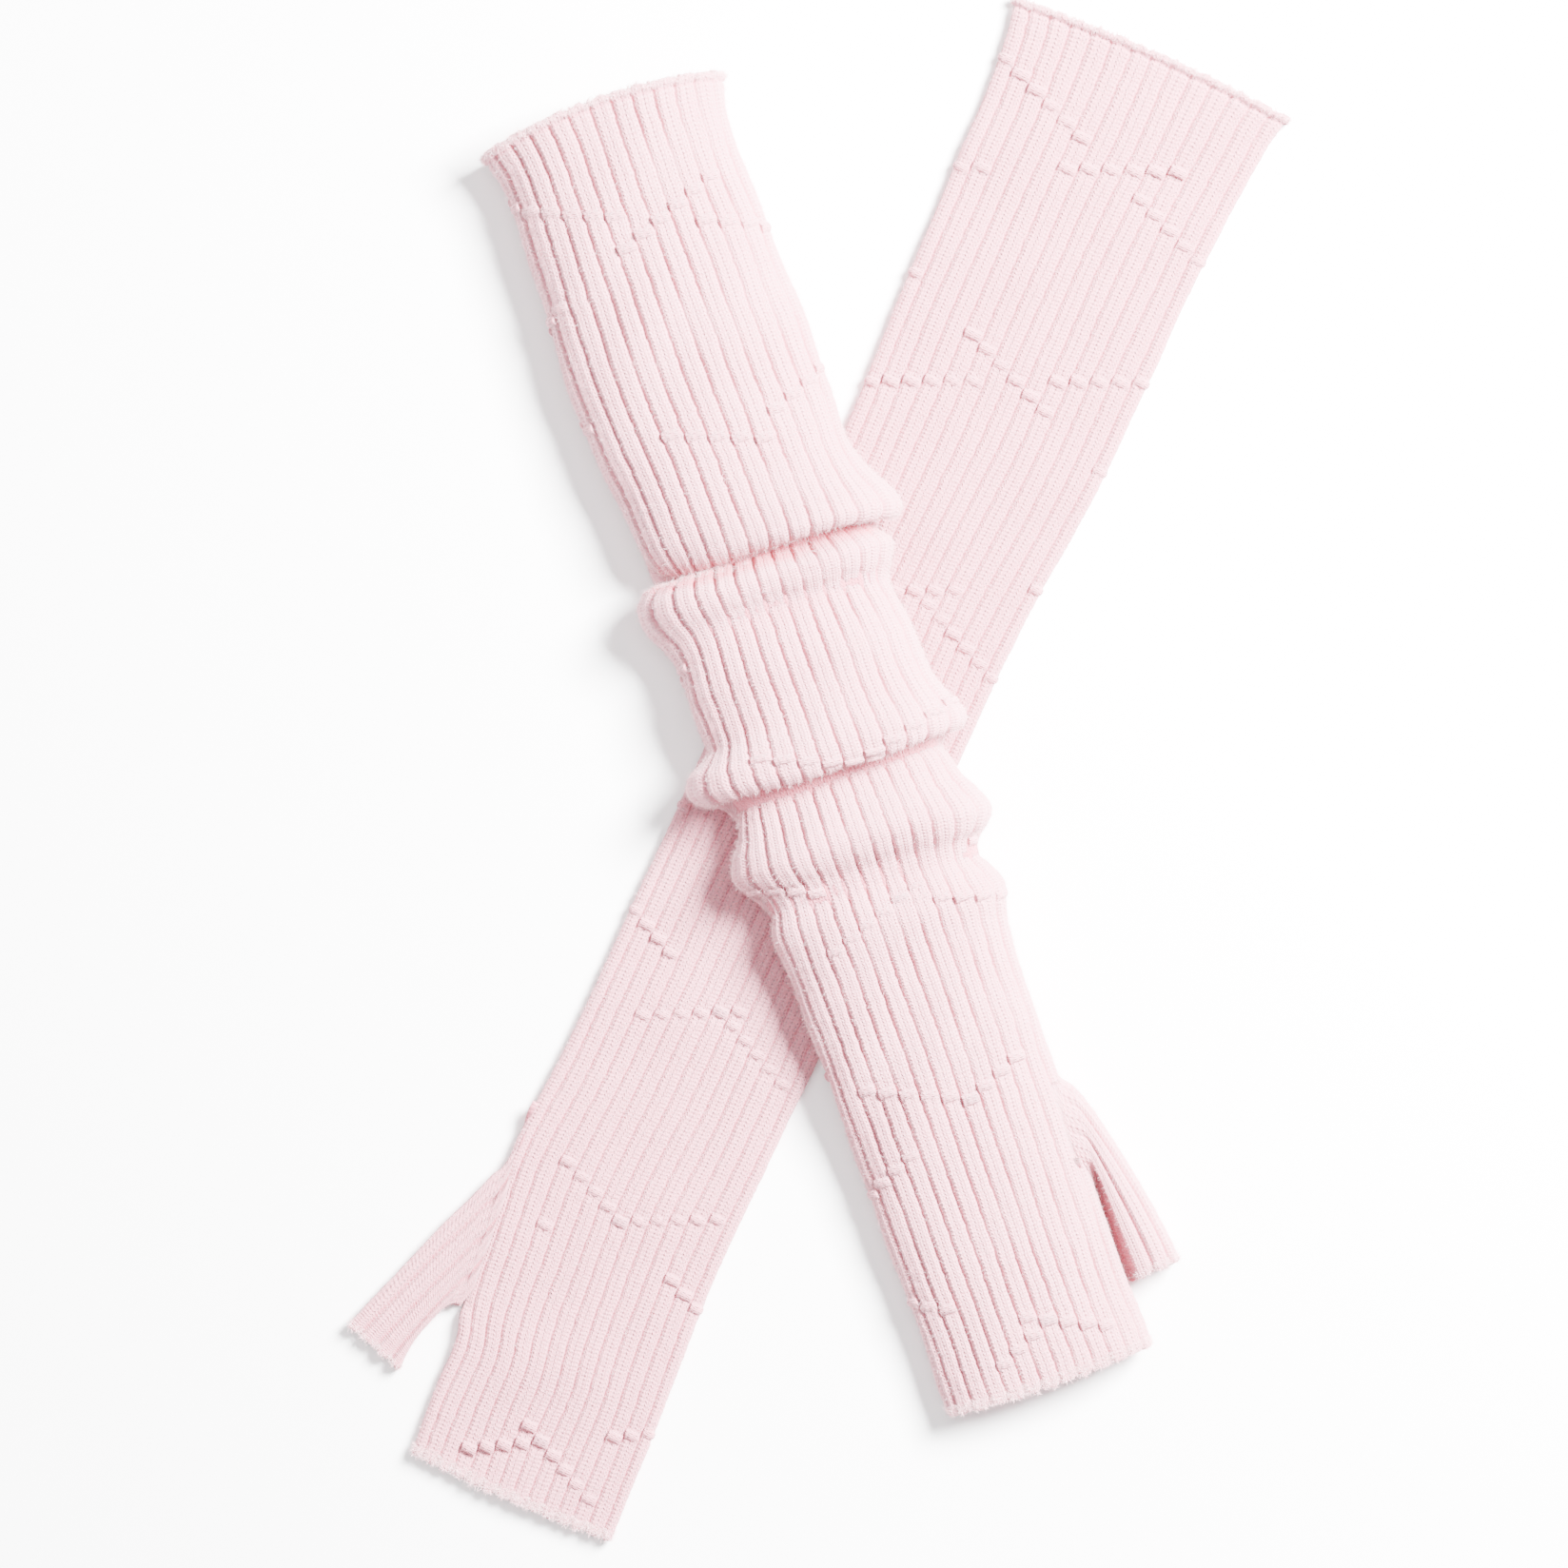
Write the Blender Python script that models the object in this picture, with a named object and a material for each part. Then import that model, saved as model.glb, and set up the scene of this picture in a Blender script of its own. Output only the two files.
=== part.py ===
"""A pair of long fingerless gloves in rib knit, lying crossed on a flat surface.

Each glove is one knitted tube for the arm and hand, with a short tube for the thumb on its side.
The lower glove lies flat, with its two layers on each other. The upper glove lies across it, filled
out and slouched, so that its cloth stands in folds.
Sizes are in millimetres, and become metres when a mesh is made. +X is right, +Y points towards the
arm openings and +Z is up from the surface, which is z = 0.
"""

import math

import bmesh
import bpy
import numpy as np

MM = 0.001

# Knit: flat-topped ribs with a groove between them, on a plain inside
CREST_FROM = 0.26  # where a rib's flat crest starts and ends, as shares of its pitch
CREST_TO = 0.74
SEAM_GAP = 0.35  # between a thumb and the hand that it is knitted to
RIM_SAG = 0.3  # what the straight edge of a thumb's rim cuts off the hand's rounded side

# Lower glove: pressed flat, so a ring is a slot with round ends
LOWER_RIBS = 14  # on the upper layer, of 28 round the glove
LOWER_THICK = 4.9  # two layers of cloth
LOWER_WALL = 2.2  # one layer, at a crest
LOWER_GROOVE = 1.0
LOWER_START = (116.9, 248.8)  # middle of the arm opening
LOWER_LEAN = -23.9  # degrees that the glove leans from -Y, positive towards +X
LOWER_ROWS = 15
LOWER_FLARE_AT = 7.0  # row where the arm's edge starts to widen
LOWER_PLAIN_SHARES = [0.51, 0.62, 0.75, 0.88, 0.99]  # points on the underside
LOWER_EDGE_BOW = (2.5, 1.5)  # how far the arm's and the hand's edge bow out in the middle
EDGE_BOW_REACH = 30.0
LOWER_FORM = {
    "along": (0, 7, 20, 60, 110, 150, 200, 260, 330, 400, 441, 470, 498, 507, 525, 551),
    "aside": (0, 0, 0, -1, -1, -1, -3, -3.5, -5, -6.5, -8.2, -6.6, -4.3, -2.8, -2.3, -1),
    "half_width": (
        53, 51, 49.4, 47.2, 46.3, 45, 42.5, 41.8, 41.2, 41.2, 41.7, 40.6, 39.8, 38.7, 38.8, 38.4
    ),
}
LOWER_THUMB_OPENING = (449, 491)  # along the glove, on its left side
LOWER_THUMB = {
    "outer_along": (441, 457, 475, 492, 509, 519),
    "outer_aside": (-50.2, -55.5, -62.6, -68.5, -74.6, -78),
    "inner_along": (498, 499.5, 506, 513, 520, 526.5),
    "inner_aside": (-44.4, -48.3, -51.3, -53.4, -54.4, -54.2),
    "base": (0, 0, 0, 0, 0, 0),
    "height": (4.9, 4.9, 4.9, 4.9, 4.9, 4.9),
}
LOWER_THUMB_ROWS = 7
LOWER_THUMB_PLAIN_SHARES = [0.51, 0.66, 0.84, 0.99]
THUMB_RIBS = 5  # on the upper side of either thumb

# Upper glove: filled out, so a ring is an arch on a flat base
UPPER_RIBS = 13  # between the widest places, of 28 round the glove
UPPER_FLANK_RIBS = 1  # on each flank below the widest place, above the plain underside
UPPER_WALL = 2.7
UPPER_GROOVE = 1.5
UPPER_PLAIN_POINTS = 6  # on the underside
UPPER_START = (-75.1, 227.8)
UPPER_LEAN = 19.5
UPPER_ROW_STEP = 30.0  # cloth between rows where it runs straight
UPPER_CROSSING_STEP = 18.0  # and where it lies over the lower glove
UPPER_CROSSING = (140, 430)
UPPER_TURN_STEP = 62.0  # degrees that the cloth may turn between rows
UPPER_FLARE_AT = 9.0
UPPER_FORM = {
    "along": (0, 9, 22, 60, 95, 140, 180, 235, 270, 300, 360, 410, 450, 468),
    "aside": (0, 0, 0, 0, 0, 1.5, 0.5, 0, 0, 0, 0, -0.3, 0, 0),
    "half_width": (
        44.5, 41.6, 40.8, 42.3, 43.2, 41.2, 40.3, 40.5, 39.5, 38.8, 38.3, 37.8, 37.4, 37.9
    ),
    "height": (29, 28, 27.5, 28, 28, 28, 28, 27, 26, 25, 23, 20.5, 19, 19),
}
UPPER_SIDE_HEIGHT = 0.42  # of the height, where the ring is widest
UPPER_TOP_POWERS = (2.35, 2.1)  # a ring is a superellipse: powers of its width and height
UPPER_BASE_POWERS = (4.5, 2.6)
UPPER_EDGE_BOW = (5.0, 1.5)  # how far the arm's and the hand's edge bow out in the middle
UPPER_THUMB_OPENING = (371, 403)  # along the glove, on its right side
UPPER_THUMB_OPENING_SHARE = 0.03  # the opening's half height, as a share of the way round
UPPER_THUMB = {
    "outer_along": (366, 379, 392, 405, 419, 433, 443.5),
    "outer_aside": (38.9, 44.4, 48, 51, 53.8, 56, 57),
    "inner_along": (407.5, 409, 413, 420, 428, 437, 445),
    "inner_aside": (38.4, 38.5, 38.5, 38.6, 38.7, 38.9, 39.3),
    "base": (3.6, 2.2, 0.6, 0, 0, 0, 0),
    "height": (10.4, 11.8, 13.4, 14, 14, 14, 14),
}
UPPER_THUMB_ROWS = 8
UPPER_THUMB_FLANK_RIBS = 1
UPPER_THUMB_PLAIN_POINTS = 4

# Where the upper glove crosses the lower one it rides over it and comes down again outside
CROSSING_GAP = 0.45
CROSSING_MARGIN = 9.0  # level ground kept beside the lower glove
CROSSING_RAMP = 16.0

# Where the slouched cloth passes, on the left edge, in the middle and on the right edge: how far
# along the glove, and how far out from its plain form. Between two rows it goes in a smooth curve,
# and where it comes back along the glove it hangs over itself.
FOLD_COLUMNS = ("left_along", "left_out", "middle_along", "middle_out", "right_along", "right_out")
FOLD_COURSE = (
    (126, 0, 126, 0, 126, 0),
    (136, 0, 136, 0, 136, 0.5),
    (147, -1.5, 147, 1.5, 147, 4.5),
    (156, -5, 154.5, 3, 156, 9.5),
    (161, -9.5, 159, 2.5, 163, 11),
    (163.5, -11, 161.5, -1.5, 166, 8.5),
    (162.5, -8.5, 161.5, -6, 164.5, 4),
    (160.5, -4.5, 161.5, -9, 162, 1),
    (160.5, 1, 163.5, -6.5, 163.5, -0.5),
    (164, 5.5, 166, -1.5, 168, 2),
    (169.5, 7, 170.5, 3, 173.5, 5.5),
    (176, 6, 175.5, 1.5, 179, 3),
    (184, 2.5, 181, -4, 185, -0.5),
    (192, 0, 189, -3, 192, 0.5),
    (203, -0.5, 202, 0.5, 203, 2),
    (214, -1, 213, 0, 214, 2),
    (221, -1.5, 221.5, 1.5, 223, 3),
    (224, 3, 228.5, 6, 231, 7),
    (228, 9.5, 235, 7.5, 237, 10),
    (234, 11, 240.5, 6, 241.5, 9),
    (239, 7, 242.5, 2, 243, 5.5),
    (239.5, 2, 240.5, -1.5, 241.5, 1.5),
    (238, -2, 239, -5, 240.5, -2),
    (240, -5, 241.5, -7, 243, -3.5),
    (246, -3, 248, -4, 249, -0.5),
    (254, 0, 256, 0, 257, 1.5),
    (261.5, 5, 263, 4, 266, 6),
    (267, 7, 268.5, 4.5, 272.5, 8),
    (272, 4.5, 273.5, 2, 277.5, 5),
    (275.5, 0.5, 278, -2, 280.5, 0.5),
    (280.5, -1.5, 283.5, -3.5, 285, -1),
    (289, 1, 290, -1, 290, 1.5),
    (300, 0.5, 300, 1, 299, 4.5),
    (311, 0, 311, 0, 309, 1.5),
    (322, 0, 322, 0, 322, 0),
    (332, 0, 332, 0, 332, 0),
)
SLOUCH_TAKES_UP = 82.0  # cloth that lies in the folds

# Working values
ROW_SEARCH_STEP = 0.25
THUMB_ROW_CLEAR = 5.0  # no other row comes this close to an end of the thumb's opening
TILT_STEP = 0.25
RING_STEPS = 720
UP = np.array((0.0, 0.0, 1.0))
NO_OPENING = (range(0), range(0))

WOOL_PINK = (0.86, 0.66, 0.68)
WOOL_ROUGHNESS = 0.9


def clear_scene():
    for thing in list(bpy.data.objects):
        bpy.data.objects.remove(thing)


def curve_through(places, values, at):
    """A smooth curve through a table's points, as cubic pieces with the slopes of its neighbours."""
    places = np.asarray(places, float)
    values = np.asarray(values, float)
    slopes = np.gradient(values, places)
    at = np.clip(at, places[0], places[-1])
    left = np.clip(np.searchsorted(places, at, side="right") - 1, 0, len(places) - 2)
    span = places[left + 1] - places[left]
    t = (at - places[left]) / span
    rise = values[left + 1] - values[left]
    a = slopes[left] * span - rise
    b = -slopes[left + 1] * span + rise
    return values[left] + t * rise + t * (1 - t) * (a * (1 - t) + b * t)


def smooth_step(x):
    x = np.clip(x, 0, 1)
    return x * x * (3 - 2 * x)


def glove_axes(lean):
    """Unit vectors along a glove, from arm to hand, and across it, to the right."""
    angle = math.radians(lean)
    along = np.array((math.sin(angle), -math.cos(angle), 0.0))
    across = np.array((math.cos(angle), math.sin(angle), 0.0))
    return along, across


def slot_ring(half_width, thick, share):
    """A point and outward normal on a flat ring, as (across, up), at a share of the way round it.

    Share 0 is the left edge, 0.5 the right edge, and the upper side lies between them.
    """
    radius = thick / 2
    flat = 2 * (half_width - radius)
    bend = math.pi * radius / 2
    half_round = flat + 2 * bend
    upper = share < 0.5
    way = np.where(upper, share, share - 0.5) * 2 * half_round
    turn = np.clip(way / radius, 0, math.pi / 2)
    turn = turn + np.clip((way - bend - flat) / radius, 0, math.pi / 2)
    centre = -flat / 2 + np.clip(way - bend, 0, flat)
    normal = np.stack([-np.cos(turn), np.sin(turn)], axis=-1)
    point = np.stack([centre, np.zeros_like(centre)], axis=-1) + radius * normal
    facing = np.where(upper, 1.0, -1.0)[..., None]
    return point * facing + np.array((0.0, radius)), normal * facing


def arch_ring(half_width, height, share):
    """The same for a filled ring: a full arch over a base that lies flat with rounded corners."""
    side = UPPER_SIDE_HEIGHT * height
    turn = np.linspace(0, 2 * math.pi, RING_STEPS + 1)
    across, up = -np.cos(turn), np.sin(turn)
    over = up >= 0
    (top_x, top_z), (base_x, base_z) = UPPER_TOP_POWERS, UPPER_BASE_POWERS
    x = np.sign(across) * np.abs(across) ** np.where(over, 2 / top_x, 2 / base_x)
    above = (height - side) * np.abs(up) ** (2 / top_z)
    z = np.where(over, above, -side * np.abs(up) ** (2 / base_z))
    line = np.stack([half_width * x, side + z], axis=-1)
    steps = np.linalg.norm(np.diff(line, axis=0), axis=1)
    way = np.concatenate([[0], np.cumsum(steps)])
    half = len(turn) // 2
    target = np.where(
        share < 0.5,
        share * 2 * way[half],
        way[half] + (share - 0.5) * 2 * (way[-1] - way[half]),
    )
    point = np.stack([np.interp(target, way, line[:, k]) for k in (0, 1)], axis=-1)
    tangent = np.gradient(line, axis=0)
    normal = np.stack([-tangent[:, 1], tangent[:, 0]], axis=-1)
    normal = np.stack([np.interp(target, way, normal[:, k]) for k in (0, 1)], axis=-1)
    return point, normal / np.linalg.norm(normal, axis=-1, keepdims=True)


def edge_bow(place, form, bows):
    """How far the middle of a row is moved along the glove, near either of its open edges."""
    to_arm = smooth_step(place / EDGE_BOW_REACH)
    to_hand = smooth_step((form["along"][-1] - place) / EDGE_BOW_REACH)
    return (1 - to_hand) * bows[1] - (1 - to_arm) * bows[0]


def knit_columns(ribs, first, last):
    """Shares of the way round of each rib's groove and crest corners, and which are grooves."""
    pitch = (last - first) / ribs
    shares = [first + pitch * (k + part) for k in range(ribs) for part in (0, CREST_FROM, CREST_TO)]
    return shares + [last], [True, False, False] * ribs + [True]


def add_plain(shares, grooves, plain):
    """Adds points without ribs to the columns of a ring."""
    shares = np.array(shares + list(plain)) % 1.0
    return shares, np.array(grooves + [False] * len(plain))


def flanked_columns(ribs, flank_ribs, plain_points):
    """Columns of a filled ring, whose ribs go on down its flanks to the plain underside."""
    flank = 0.5 * flank_ribs / ribs
    plain = np.linspace(0.5 + flank, 1 - flank, plain_points + 2)[1:-1]
    return add_plain(*knit_columns(ribs + 2 * flank_ribs, -flank, 0.5 + flank), plain)


def knit_wall(name, crest, normal, grooves, opening, material, wall, groove_depth):
    """One closed wall of rib knit from its crest points, row by row, each row going once round.

    opening gives the rows and the columns of the cells that are left out.
    """
    sunk = np.where(grooves, groove_depth, 0.0)[None, :, None]
    skins = [crest - normal * sunk, crest - normal * wall]
    bm = bmesh.new()
    outer, inner = [[[bm.verts.new(p * MM) for p in row] for row in skin] for skin in skins]
    rows, columns = crest.shape[:2]
    open_rows, open_columns = opening

    def is_cloth(j, i):
        return 0 <= j < rows - 1 and not (j in open_rows and i % columns in open_columns)

    for j in range(rows - 1):
        for i in range(columns):
            if not is_cloth(j, i):
                continue
            k = (i + 1) % columns
            bm.faces.new((outer[j][i], outer[j][k], outer[j + 1][k], outer[j + 1][i]))
            bm.faces.new((inner[j][i], inner[j + 1][i], inner[j + 1][k], inner[j][k]))
            edges = (
                (is_cloth(j - 1, i), (j, i), (j, k)),
                (is_cloth(j + 1, i), (j + 1, i), (j + 1, k)),
                (is_cloth(j, i - 1), (j, i), (j + 1, i)),
                (is_cloth(j, i + 1), (j, k), (j + 1, k)),
            )
            for joined, a, b in edges:
                if not joined:
                    rim = (outer[a[0]][a[1]], outer[b[0]][b[1]], inner[b[0]][b[1]], inner[a[0]][a[1]])
                    bm.faces.new(rim)
    bmesh.ops.recalc_face_normals(bm, faces=bm.faces)
    mesh = bpy.data.meshes.new(name)
    bm.to_mesh(mesh)
    bm.free()
    mesh.materials.append(material)
    thing = bpy.data.objects.new(name, mesh)
    bpy.context.scene.collection.objects.link(thing)
    return thing


def cells_between(places, ends):
    """The cells that lie between two places, each of which is a row."""
    first, last = (int(np.argmin(np.abs(np.array(places) - end))) for end in ends)
    return range(first, last)


def lower_surface(x, y):
    """How high the upper glove's base is held above the surface at a place, by the lower glove."""
    along_axis, across_axis = glove_axes(LOWER_LEAN)
    dx, dy = x - LOWER_START[0], y - LOWER_START[1]
    along = dx * along_axis[0] + dy * along_axis[1]
    aside = dx * across_axis[0] + dy * across_axis[1]
    middle = curve_through(LOWER_FORM["along"], LOWER_FORM["aside"], along)
    half = curve_through(LOWER_FORM["along"], LOWER_FORM["half_width"], along)
    outside = np.abs(aside - middle) - half - CROSSING_MARGIN
    return (LOWER_THICK + CROSSING_GAP) * (1 - smooth_step(outside / CROSSING_RAMP))


def lower_glove(material):
    """The arm and hand tube of the lower glove, in two flat layers."""
    along_axis, across_axis = glove_axes(LOWER_LEAN)
    shares, grooves = knit_columns(LOWER_RIBS, 0.0, 0.5)
    shares, grooves = add_plain(shares, grooves, LOWER_PLAIN_SHARES)
    straight = np.linspace(0, LOWER_FORM["along"][-1], LOWER_ROWS)
    rows = np.unique(np.concatenate([straight, (LOWER_FLARE_AT,), LOWER_THUMB_OPENING]))
    crest, normal = [], []
    for place in rows:
        middle = curve_through(LOWER_FORM["along"], LOWER_FORM["aside"], place)
        half = curve_through(LOWER_FORM["along"], LOWER_FORM["half_width"], place)
        point, outward = slot_ring(half, LOWER_THICK, shares)
        bulge = 1 - (point[:, 0] / half) ** 2
        here = place + edge_bow(place, LOWER_FORM, LOWER_EDGE_BOW) * bulge
        centre = np.array((*LOWER_START, 0.0)) + here[:, None] * along_axis + across_axis * middle
        crest.append(centre + point[:, :1] * across_axis + point[:, 1:] * UP)
        normal.append(outward[:, :1] * across_axis + outward[:, 1:] * UP)
    side_columns = (len(shares) - 1, 0)
    opening = (cells_between(rows, LOWER_THUMB_OPENING), side_columns)
    walls = {"wall": LOWER_WALL, "groove_depth": LOWER_GROOVE}
    return knit_wall("lower_glove", np.array(crest), np.array(normal), grooves, opening, material, **walls)


def lower_side(along, z):
    """How far aside a place on the lower glove's left side is, with the seam's gap added."""
    middle = curve_through(LOWER_FORM["along"], LOWER_FORM["aside"], along)
    half = curve_through(LOWER_FORM["along"], LOWER_FORM["half_width"], along)
    radius = LOWER_THICK / 2
    bulge = np.sqrt(np.maximum((radius + SEAM_GAP + RIM_SAG) ** 2 - (z - radius) ** 2, 0))
    return middle - (half - radius + bulge)


def upper_side(along, z):
    """The same for the upper glove's right side."""
    form = {k: curve_through(UPPER_FORM["along"], UPPER_FORM[k], along) for k in UPPER_FORM}
    side = UPPER_SIDE_HEIGHT * form["height"]
    above = np.clip((z - side) / (form["height"] - side + SEAM_GAP + RIM_SAG), 0, 1)
    below = np.clip((side - z) / side, 0, 1)
    full = form["half_width"] + SEAM_GAP + RIM_SAG
    over = full * (1 - above**UPPER_TOP_POWERS[1]) ** (1 / UPPER_TOP_POWERS[0])
    under = full * (1 - below**UPPER_BASE_POWERS[1]) ** (1 / UPPER_BASE_POWERS[0])
    return form["aside"] + np.where(z > side, over, under)


def thumb_tube(name, start, lean, table, rows, ring, columns, side_of_hand, material, **walls):
    """A thumb's tube. Each row is a ring that stands on a line from the thumb's outer edge to the
    edge beside the hand, and the first row follows the hand's side.
    """
    along_axis, across_axis = glove_axes(lean)
    shares, grooves = columns
    count = len(table["height"])
    crest, inward = [], []
    for t in np.linspace(0, count - 1, rows):
        value = {k: curve_through(range(count), table[k], t) for k in table}
        outer = np.array((value["outer_along"], value["outer_aside"]))
        inner = np.array((value["inner_along"], value["inner_aside"]))
        half = np.linalg.norm(inner - outer) / 2
        chord = (inner - outer) / (2 * half)
        point, outward = ring(half, value["height"], shares)
        skins = []
        for depth in (0, walls["wall"]):
            spot = point - outward * depth
            plan = (outer + inner) / 2 + spot[:, :1] * chord
            z = max(value["base"], 0) + spot[:, 1]
            aside = side_of_hand(plan[:, 0], z) if t == 0 else plan[:, 1]
            flat = np.array((*start, 0.0)) + plan[:, :1] * along_axis + aside[:, None] * across_axis
            skins.append(flat + z[:, None] * UP)
        crest.append(skins[0])
        inward.append((skins[0] - skins[1]) / walls["wall"])
    return knit_wall(name, np.array(crest), np.array(inward), grooves, NO_OPENING, material, **walls)


def fold_line(share):
    """The rows of the fold course at a share of the way round, as places along and out."""
    side = np.clip(share * 2, 0, 1) * 2 - 1
    course = dict(zip(FOLD_COLUMNS, np.array(FOLD_COURSE, float).T))
    line = []
    for way in ("along", "out"):
        left, middle, right = (course[f"{part}_{way}"] for part in ("left", "middle", "right"))
        line.append(middle + side * (right - left) / 2 + side**2 * ((left + right) / 2 - middle))
    return line


def fold_cloth():
    """How far along the cloth each row of the fold course lies."""
    steps = [np.hypot(*np.diff(fold_line(share), axis=1)) for share in (0.0, 0.25, 0.5)]
    length = FOLD_COURSE[-1][0] - FOLD_COURSE[0][0] + SLOUCH_TAKES_UP
    passed = np.concatenate([[0], np.cumsum(np.mean(steps, axis=0))])
    return FOLD_COURSE[0][0] + passed * length / passed[-1]


def slouch(cloth, share):
    """Where the cloth lies along the glove and out from its plain form, and its tilt there."""
    places = fold_cloth()
    shape = (len(cloth), len(share))
    along, out, tilt = np.empty(shape), np.zeros(shape), np.zeros(shape)
    before = np.minimum(cloth - places[0], 0)
    after = np.maximum(cloth - places[-1], 0)
    folded = (cloth > places[0]) & (cloth < places[-1])
    for i, here in enumerate(share):
        lines = fold_line(here)
        spot = [curve_through(places, line, cloth) for line in lines]
        ahead = [curve_through(places, line, cloth + TILT_STEP) for line in lines]
        along[:, i] = spot[0] + before + after
        out[:, i] = spot[1]
        tilt[:, i] = np.where(folded, np.arctan2(ahead[1] - spot[1], ahead[0] - spot[0]), 0)
    return along, out, tilt


def upper_rows():
    """Places of the rows along the cloth, closer together where it turns."""
    length = UPPER_FORM["along"][-1] + SLOUCH_TAKES_UP
    fine = np.arange(0, length, ROW_SEARCH_STEP)
    tilt = np.degrees(np.unwrap(slouch(fine, np.array((0.0, 0.25, 0.5)))[2], axis=0))
    turning = np.abs(np.diff(tilt, axis=0)).max(axis=1) / UPPER_TURN_STEP
    crossing = (fine[1:] > UPPER_CROSSING[0]) & (fine[1:] < UPPER_CROSSING[1])
    count = turning + np.diff(fine) / np.where(crossing, UPPER_CROSSING_STEP, UPPER_ROW_STEP)
    passed = np.concatenate([[0], np.cumsum(count)])
    rows = np.interp(np.linspace(0, passed[-1], math.ceil(passed[-1]) + 1), passed, fine)
    thumb_rows = np.array(UPPER_THUMB_OPENING) + SLOUCH_TAKES_UP
    rows = rows[np.min(np.abs(rows[:, None] - thumb_rows), axis=1) > THUMB_ROW_CLEAR]
    return np.unique(np.concatenate([rows[:-1], (UPPER_FLARE_AT, length), thumb_rows]))


def upper_glove(material):
    """The arm and hand tube of the upper glove, filled out, slouched and lying over the lower one."""
    along_axis, across_axis = glove_axes(UPPER_LEAN)
    shares, grooves = flanked_columns(UPPER_RIBS, UPPER_FLANK_RIBS, UPPER_PLAIN_POINTS)
    flank = 0.5 * UPPER_FLANK_RIBS / UPPER_RIBS
    round_the_top = np.where(shares > 0.75, shares - 1, shares)
    free = 1 - smooth_step((np.abs(round_the_top - 0.25) - 0.25) / flank)
    seen_share = np.clip(round_the_top, 0, 0.5)
    cloth = upper_rows()
    lies_along, stands_out, tilt = slouch(cloth, seen_share)
    folds = fold_cloth()[[0, -1]]
    base_along = np.interp(
        cloth,
        (0, *folds, cloth[-1]),
        (0, folds[0], folds[1] - SLOUCH_TAKES_UP, UPPER_FORM["along"][-1]),
    )
    bulge = np.sin(seen_share * 2 * math.pi)
    crest, normal = [], []
    for j, place in enumerate(base_along):
        here = place + (lies_along[j] - place) * free
        here = here + edge_bow(place, UPPER_FORM, UPPER_EDGE_BOW) * bulge * free
        form = {k: curve_through(UPPER_FORM["along"], UPPER_FORM[k], place) for k in UPPER_FORM}
        point, outward = arch_ring(form["half_width"], form["height"], shares)
        point = point + outward * (stands_out[j] * free)[:, None]
        flat = np.array((*UPPER_START, 0.0)) + here[:, None] * along_axis
        flat = flat + (form["aside"] + point[:, :1]) * across_axis
        ground = lower_surface(flat[:, 0], flat[:, 1])
        raised = point[:, 1] / form["height"]
        lift = ground * (1 - raised) + ground.mean() * raised
        crest.append(flat + (point[:, 1] + lift)[:, None] * UP)
        ring_normal = outward[:, :1] * across_axis + outward[:, 1:] * UP
        rising = (tilt[j] * free)[:, None]
        normal.append(ring_normal * np.cos(rising) - along_axis * np.sin(rising))
    above_seam = np.argmin(np.abs(shares - (0.5 - UPPER_THUMB_OPENING_SHARE)))
    below_seam = np.argmin(np.abs(shares - (0.5 + UPPER_THUMB_OPENING_SHARE)))
    opening = (cells_between(base_along, UPPER_THUMB_OPENING), range(above_seam, below_seam))
    walls = {"wall": UPPER_WALL, "groove_depth": UPPER_GROOVE}
    return knit_wall("upper_glove", np.array(crest), np.array(normal), grooves, opening, material, **walls)


def lower_thumb(material):
    """The lower glove's thumb, flat and held away from the hand."""
    columns = add_plain(*knit_columns(THUMB_RIBS, 0.0, 0.5), LOWER_THUMB_PLAIN_SHARES)
    thumb_tube(
        "lower_glove_thumb", LOWER_START, LOWER_LEAN, LOWER_THUMB, LOWER_THUMB_ROWS, slot_ring,
        columns, lower_side, material, wall=LOWER_WALL, groove_depth=LOWER_GROOVE
    )


def upper_thumb(material):
    """The upper glove's thumb, filled out and close beside the hand."""
    columns = flanked_columns(THUMB_RIBS, UPPER_THUMB_FLANK_RIBS, UPPER_THUMB_PLAIN_POINTS)
    thumb_tube(
        "upper_glove_thumb", UPPER_START, UPPER_LEAN, UPPER_THUMB, UPPER_THUMB_ROWS, arch_ring,
        columns, upper_side, material, wall=UPPER_WALL, groove_depth=UPPER_GROOVE
    )


def pink_wool():
    material = bpy.data.materials.new("pink_wool")
    material.use_nodes = True
    shader = material.node_tree.nodes["Principled BSDF"]
    shader.inputs["Base Color"].default_value = (*WOOL_PINK, 1)
    shader.inputs["Roughness"].default_value = WOOL_ROUGHNESS
    return material


clear_scene()
wool = pink_wool()
lower_glove(wool)
lower_thumb(wool)
upper_glove(wool)
upper_thumb(wool)
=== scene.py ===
"""The looks of a pair of long fingerless gloves in soft pink wool, in rib knit with small tucks.

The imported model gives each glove's place and form, and this script knits its surface in detail.
Sizes are in millimetres, and become metres when a mesh is made. +X is right, +Y points towards the
arm openings and +Z is up from the surface that the pair lies on.
"""

import math

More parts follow.
